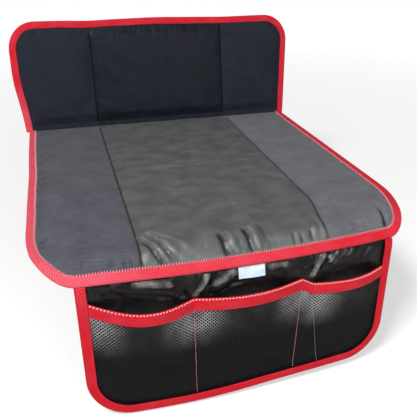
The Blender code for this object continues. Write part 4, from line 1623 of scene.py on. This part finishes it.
@dataclass
class Apron:
    """The hanging panel with its wrinkled glossy cloth, its pockets, its tape and its label."""

    panel: ApronPanel
    pockets: Pockets
    move: ClothMove
    folds: Tuple[Fold, ...]
    pulls: Tuple[Pull, ...]
    label_x: float = 0.003
    label_size: Tuple[float, float] = (0.032, 0.013)
    step: float = 0.0018
    tuck: float = 0.008

    def relief(self, across: Array, along: Array) -> Array:
        """How far the cloth stands off its plain form: folds, pulls, gathers below the seam, ripples.

        It stands out only above the hem, and it is flat at the tapes, the dividers and the label.
        """
        near_seam = np.exp(-np.maximum(along, 0) / 0.012) * smooth(along / 0.004)
        gathers = 0.0007 * noise(across, along * 0.25, 0.0075, 51) * near_seam
        ripples = 0.0006 * noise(across, along, 0.017, 52) + 0.0003 * noise(across, along, 0.008, 53)
        height = total(self.folds, across, along) + total(self.pulls, across, along) + gathers + ripples
        height = height + self.move.at(across, np.maximum(along, 0))[..., 2]
        above = smooth((self.pockets.hem_top(across) - 0.004 - along) / 0.01)
        height = np.where(height > 0, height * above, height)
        inside = self.panel.edge_distance(across, np.maximum(along, 0.001))
        held = smooth((self.panel.half_start - HELD - np.abs(across)) / 0.008) * smooth(along / 0.006)
        held = held * smooth((self.panel.end(across, HELD) - along) / 0.01) * (inside > 0)
        beyond = np.hypot(
            np.maximum(np.abs(across - self.label_x) - self.label_size[0] / 2, 0) / 0.01,
            np.maximum(along - 0.003 - self.label_size[1], 0) / 0.006,
        )
        return height * held * (0.12 + 0.88 * smooth(beyond))

    def build(self) -> None:
        """Makes the panel, its tape, the pockets and the label."""
        lines = graded(0.0, self.panel.length, self.step, 0.012, (False, True))
        lines = np.concatenate([np.linspace(-self.tuck, 0.0, 5)[:-1], lines])
        straight = self.panel.length - self.panel.corner_along
        corner = straight + self.panel.corner_along * np.sin(np.linspace(0, math.pi / 2, 48))
        lines = np.concatenate([lines[lines < straight], corner])
        shares = np.linspace(-1.0, 1.0, round(2 * self.panel.half_start / self.step) + 1)
        across, along = self.panel.grid(lines, shares)
        off = self.relief(across, along)
        outer = self.panel.place(across, along, off + 0.45 * APRON_CLOTH)
        inner = self.panel.place(across, along, off - 0.45 * APRON_CLOTH)
        above = smooth((self.pockets.hem_top(across) + 0.002 - along) / 0.006) * smooth((along - 0.001) / 0.003)
        # The fold value sets painted shade in the apron's valleys and a painted highlight on its ridges, above the hem
        values = {"fold": np.clip(total(self.folds, across, along) / 0.0034, -1, 1) * above}
        made = shell("apron_gloss_cloth", outer, inner, stack(across, along), APRON_GLOSS, values)
        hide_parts("apron_panel")
        low, high = -APRON_CLOTH / 2 - TAPE_SEAT, NET_OUT + NET / 2 + TAPE_SEAT
        tape = FoldedTape(low, high, TAPE_WIDTH, TAPE_WIDTH)

        def ramp(a: Array, l: Array) -> Array:
            """Painted sunlight: paler towards the top at the left."""
            return 0.02 + 0.25 * smooth((0.06 - l) / 0.08) * (a < 0)

        start = BAND_TIP + CLEARANCE
        binding = Binding(
            "apron_tape", "apron_binding", self.panel, tape, start, ramp, 71, RED_THREAD, offset=-0.0014, reach=0.0022
        )
        trims = binding.build()
        self.dress_pockets()
        self.label()

    def dress_pockets(self) -> None:
        net = self.pockets.net()
        trims = self.pockets.hem() + self.pockets.divider_thread()

    def label(self) -> None:
        """The bare satin tab: it curls off the cloth towards its foot and waves a little across."""
        width, length = self.label_size
        start = BAND_TIP + CLEARANCE
        lines, columns = np.linspace(0.0, 1.0, 18), np.linspace(-0.5, 0.5, 30)
        share, part = np.meshgrid(lines, columns, indexing="ij")
        across = self.label_x + part * width * (1 - 0.012 * share)
        along = start + share * length
        curl = 0.0016 * share**2 + 0.0005 * share * np.sin(part * 5.2 + 0.8) + 0.0006 * share * part
        base = APRON_CLOTH / 2 + CLEARANCE + LABEL_CLOTH / 2 + 0.0003
        outer = self.panel.place(across, along, base + curl + 0.4 * LABEL_CLOTH)
        inner = self.panel.place(across, along, base + curl - 0.4 * LABEL_CLOTH)
        made = shell("satin_tab", outer, inner, stack(across, along), SATIN)
        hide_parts("label_tab")


@dataclass
class CreaseStrip:
    """The woven strip under the crease that joins the two pads."""

    leg: float = 0.0115

    def build(self) -> None:
        """An angle in section: level under the seat pad, round the corner, up behind the back pad."""
        height = EDGE_LIFT - TAPE_SEAT
        half = SEAT.half_start - HELD
        across = np.linspace(-half, half, 160)
        corner = BACK.place(np.zeros(1), np.zeros(1), np.array([height]))[0]
        up = np.array([0.0, math.sin(BACK_LEAN), math.cos(BACK_LEAN)])
        corner = corner + up * ((height - corner[2]) / up[2])
        level = np.linspace(CREASE_Y - self.leg, corner[1], 14)
        rise = np.linspace(0.0, self.leg, 12)[1:]
        y = np.concatenate([level, corner[1] + up[1] * rise])
        z = np.concatenate([np.full(14, height), height + up[2] * rise])
        turn = smooth((np.arange(len(y)) - 12) / 3.0)
        thick_y, thick_z = math.cos(BACK_LEAN) * turn, -(1 - turn) + math.sin(-BACK_LEAN) * turn
        scale = np.maximum(np.hypot(thick_y, thick_z), 1e-6)
        line = stack(0 * y, y, z)
        way = stack(0 * y, thick_y / scale, thick_z / scale) * TAPE / 2 * 0.9
        wave = 0.00004 * np.cos(np.arange(160) * 0.9)[:, None, None] * stack(0 * y, 0 * y, np.ones_like(y))[None]
        base = line[None] + stack(across, 0 * across, 0 * across)[:, None] + wave
        gone = run_length(line)
        uv = stack(gone[None, :] + 0 * across[:, None], across[:, None] + 0 * gone[None, :])
        made = shell("crease_strip", base + way[None], base - way[None], uv, KNIT)
        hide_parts("crease_tape")


class Light(Enum):
    """The studio's area lamps: place, target, side, power and colour."""

    KEY = ((-0.9, -0.85, 1.55), (0.0, -0.05, 0.0), 0.45, 34.0, (1.0, 0.99, 0.975))
    FILL = ((0.9, -1.5, 1.0), (0.0, -0.1, 0.0), 1.4, 7.0, (0.95, 0.97, 1.0))
    STRIP = ((0.3, -1.7, 0.62), (0.0, -0.26, -0.05), 0.6, 8.0, (1.0, 1.0, 1.0))


@dataclass
class Studio:
    """Floor, background, lamps and camera."""

    floor_z: float = -0.2
    reach: float = 6.0
    ambient: float = 0.18
    eye: Tuple[float, float, float] = (-0.18426, -0.69291, 0.31189)
    yaw: float = 0.2925
    pitch: float = 0.4881
    roll: float = 0.0126
    lens: float = 44.2

    def build(self) -> None:
        """Sets up everything round the object."""
        self.floor()
        self.world()
        for light in Light:
            self.lamp(light)
        self.camera()
        bpy.context.scene.view_settings.view_transform = "Standard"

    def floor(self) -> None:
        """A wide pale plane, lifted to white for the camera, that keeps the object's shadow."""
        corners = [(x * self.reach, y * self.reach, self.floor_z) for x, y in ((-1, -1), (1, -1), (1, 1), (-1, 1))]
        mesh = bpy.data.meshes.new("floor")
        mesh.from_pydata(corners, [], [(0, 1, 2, 3)])
        plane = link("floor", mesh)
        nodes = Nodes("floor_paint")
        rays = nodes.add("ShaderNodeLightPath").outputs
        nodes.finish(Base_Color=(0.62, 0.62, 0.62), Roughness=0.9, Emission_Color=(1.0, 1.0, 1.0))
        apart = nodes.add("ShaderNodeVectorMath", {0: nodes.object_place()}, operation="LENGTH").outputs["Value"]
        lift = nodes.times(rays["Is Camera Ray"], nodes.between(apart, 0.4, 2.4, 0.46, 0.86))
        nodes.put(nodes.shader.inputs["Emission Strength"], lift)
        mesh.materials.append(nodes.material)

    def world(self) -> None:
        """White where the camera looks, straight or through a piece, and a dim soft light elsewhere."""
        world = bpy.data.worlds.new("studio")
        bpy.context.scene.world = world
        world.use_nodes = True
        tree = world.node_tree
        background = tree.nodes["Background"]
        rays = tree.nodes.new("ShaderNodeLightPath").outputs
        both = tree.nodes.new("ShaderNodeMath")
        both.operation = "MAXIMUM"
        tree.links.new(rays["Is Camera Ray"], both.inputs[0])
        tree.links.new(rays["Is Transmission Ray"], both.inputs[1])
        spread = tree.nodes.new("ShaderNodeMapRange")
        spread.inputs["To Min"].default_value = self.ambient
        tree.links.new(both.outputs[0], spread.inputs["Value"])
        tree.links.new(spread.outputs[0], background.inputs["Strength"])
        background.inputs["Color"].default_value = (1.0, 1.0, 1.0, 1.0)

    def lamp(self, light: Light) -> None:
        """One square area lamp aimed at its target."""
        place, target, side, power, colour = light.value
        data = bpy.data.lights.new(light.name.lower(), "AREA")
        data.size = side
        data.energy = power
        data.color = colour
        lamp = link(light.name.lower(), data)
        lamp.location = place
        lamp.rotation_euler = (Vector(target) - Vector(place)).to_track_quat("-Z", "Y").to_euler()

    def camera(self) -> None:
        """The camera at the photograph's place, turned by its yaw, pitch and roll."""
        data = bpy.data.cameras.new("camera")
        data.lens = self.lens
        data.sensor_width = 36.0
        data.clip_start = 0.01
        camera = link("camera", data)
        ahead = Vector((
            math.sin(self.yaw) * math.cos(self.pitch),
            math.cos(self.yaw) * math.cos(self.pitch),
            -math.sin(self.pitch),
        ))
        level = Vector((math.cos(self.yaw), -math.sin(self.yaw), 0.0))
        over = level.cross(ahead)
        right = level * math.cos(self.roll) + over * math.sin(self.roll)
        up = over * math.cos(self.roll) - level * math.sin(self.roll)
        turn = Matrix((right, up, -ahead)).transposed()
        camera.matrix_world = Matrix.Translation(self.eye) @ turn.to_4x4()
        bpy.context.scene.camera = camera


# Tucks at the front edge, then faint swells
SEAT_FOLDS = folds_from(
    (-116.5, 404, -90, 446, 4, 3.2, 0.35), (-112, 398, -75, 444, 4.2, 2.9, 0.35),
    (-106, 394, -62, 436, 4.5, 2.2, 0.2), (-115, 412, -95, 449, 2.2, -3), (-110, 402, -83, 446, 2.2, -3),
    (-18, 416, -12.5, 449.5, 4, 3.4, 0.3), (-27.5, 418, -22.5, 449.5, 3.4, -3), (-9, 424, -5, 449.5, 2.2, -1.8),
    (12.5, 412, 16, 449.5, 4, 3.6, -0.3), (3.5, 414, 7.5, 449.5, 3, -3.2), (23, 410, 26, 449, 3, -1.6),
    (60, 432, 58, 450, 1.8, -2.2), (66, 430, 64, 450, 2.4, 1.4), (70, 434, 69, 450, 1.8, -2.2),
    (83, 432, 82, 450, 2, -2), (89, 426, 88, 450, 2.8, 1.4), (98.5, 400, 98.5, 450, 3.2, 2.2),
    (190, 418, 186, 447, 1.8, -3.4), (197, 412, 194, 444, 3.6, 1.8), (-150, 300, -220, 340, 16, 1),
    (-130, 360, -205, 400, 14, 1.2), (150, 395, 205, 410, 16, 1.2),
)
# Faint slanting creases
BACK_FOLDS = folds_from(
    (-105, 155, -45, 110, 9, 1, 0.3), (-110, 120, -70, 80, 8, 0.8), (-122, 165, -128, 60, 6, -0.8),
    (60, 150, 95, 60, 14, 0.8), (140, 140, 165, 60, 12, 0.8),
)
# Gathers under the front seam, then hollows behind the net
APRON_FOLDS = folds_from(
    (-132, 4.5, -86, 12.5, 5, 3.4, 0.3), (-140, 15, -86, 34, 6.2, 1.5, 0.3), (-172, 10, -110, 26, 5, -2),
    (-84, 4, -76, 30, 6, -3.2), (-48, 3, -66, 31, 4.2, 4.6, 0.3), (-40, 3, -58, 30, 2.2, -3.6),
    (-16, 3, -43, 21, 6.6, 3.6, 0.2), (-4, 16, -50, 33, 6, -2.8), (22, 5.5, 50, 8.5, 5.2, 2.6),
    (34, 13, 50, 30, 6, -2), (68, 4, 72, 30, 7, -2.6), (95, 2, 78, 31, 5, 5, 0.3), (104, 2, 87, 30, 2.2, -3.6),
    (116, 2, 102, 15, 3.6, 3.6, 0.3), (123, 2, 108, 18, 2.4, -3), (135, 2, 126, 12, 2.8, 2.6, 0.3),
    (160, 4, 140, 26, 6, -1.8), (-120, 70, -100, 150, 20, -3), (-20, 70, 10, 150, 24, -3),
    (120, 70, 130, 150, 20, -2.5),
)
PAD_TAPE = FoldedTape(EDGE_LIFT - TAPE_SEAT, EDGE_TOP + TAPE_SEAT, TAPE_WIDTH, TAPE_WIDTH)


def pad_held(panel: Panel) -> Heights:
    """Tells where a pad's cover can't move: at the tape and at the seams."""

    def held(across: Array, along: Array) -> Array:
        """True where the cover is held."""
        at_tape = panel.edge_distance(across, along) < HELD + HELD_BESIDE_TAPE
        return at_tape | (np.abs(np.abs(across) - SEAM_X) < HELD_BESIDE_SEAM)

    return held


def apron_held(across: Array, along: Array) -> Array:
    """Where the apron can't move: the front seam, the tape and the dividers' threads."""
    held = (APRON.edge_distance(across, along) < HELD) | (along < HELD_BESIDE_SEAM)
    for line in DIVIDERS:
        held |= (np.abs(across - line) < HELD_BESIDE_SEAM) & (along > 0.037)
    return held


class SeatMat:
    """The whole mat: pads, tapes, crease strip and apron."""

    def seat(self) -> None:
        """The seat pad and its tape, with the folds and tucks at its front edge."""
        pulls = (Pull(-0.117, 0.43, 0.03, 0.0006, 11), Pull(0.108, 0.44, 0.024, 0.0005, 12))
        relief = Relief(SEAT_FOLDS, pulls, pressed_along=(0.228,), drift=0.0145, seed=3)
        move = ClothMove(SEAT, pad_held(SEAT), 0.005, 0.008, 1.5, 0.0016, 5)
        pad = Pad("seat", SEAT, relief, (SEAT_CLOTH, SEAT_CLOTH_PALE), SEAT_MIDDLE, move)
        pad.build()

        def ramp(across: Array, along: Array) -> Array:
            """Painted sunlight: paler on the left side and over the front."""
            left = smooth((-across - 0.1) / 0.1)
            return 0.15 + 0.75 * left + 0.25 * smooth((along - 0.4) / 0.03) * smooth((0.15 - across) / 0.2)

        Binding("seat_tape", "seat_binding", SEAT, PAD_TAPE, 0.0, ramp, 61, PINK_THREAD, pad.top, 0.2).build()

    def back(self) -> None:
        """The back pad and its tape, with faint slanting creases at its left."""
        relief = Relief(BACK_FOLDS, (), pressed_across=(-0.01, 0.02), seed=23)
        move = ClothMove(BACK, pad_held(BACK), 0.005, 0.008, 1.5, 0.0016, 6)
        # Covers in the painted-shade copies of the seat's cloths
        pad = Pad("back", BACK, relief, (BACK_CLOTH_PAINTED_SHADE, BACK_CLOTH_PAINTED_SHADE), BACK_MIDDLE_PAINTED_SHADE, move)
        pad.build()

        def ramp(across: Array, along: Array) -> Array:
            """Painted sunlight: paler low on the left side."""
            return 0.10 + 0.5 * smooth((-across - 0.19) / 0.05) * smooth((0.10 - along) / 0.08)

        name, node = "back_tape", "back_binding"
        Binding(name, node, BACK, PAD_TAPE, 0.0, ramp, 62, RED_THREAD, pad.top, offset=-0.0012, reach=0.0024).build()

    def apron(self) -> None:
        """The apron with its pockets."""
        pulls = (
            Pull(-0.068, 0.038, 0.03, 0.0016, 31, 3.0),
            Pull(0.079, 0.042, 0.03, 0.0016, 32, 3.0),
            Pull(-0.172, 0.028, 0.024, 0.001, 33, 3.0),
            Pull(0.172, 0.046, 0.026, 0.001, 34, 3.0),
        )
        move = ClothMove(APRON, apron_held, 0.004, 0.012, 0.3, 0.0016, 7)
        Apron(APRON, Pockets(APRON), move, APRON_FOLDS, pulls).build()

    def build(self) -> None:
        """Makes all of it, from the seat out."""
        self.seat()
        self.back()
        CreaseStrip().build()
        self.apron()


def main() -> None:
    logging.basicConfig(level=logging.INFO, format="%(message)s")
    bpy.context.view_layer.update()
    SeatMat().build()
    Studio().build()
    LOG.info("boxes written")


if __name__ == "__main__":
    main()
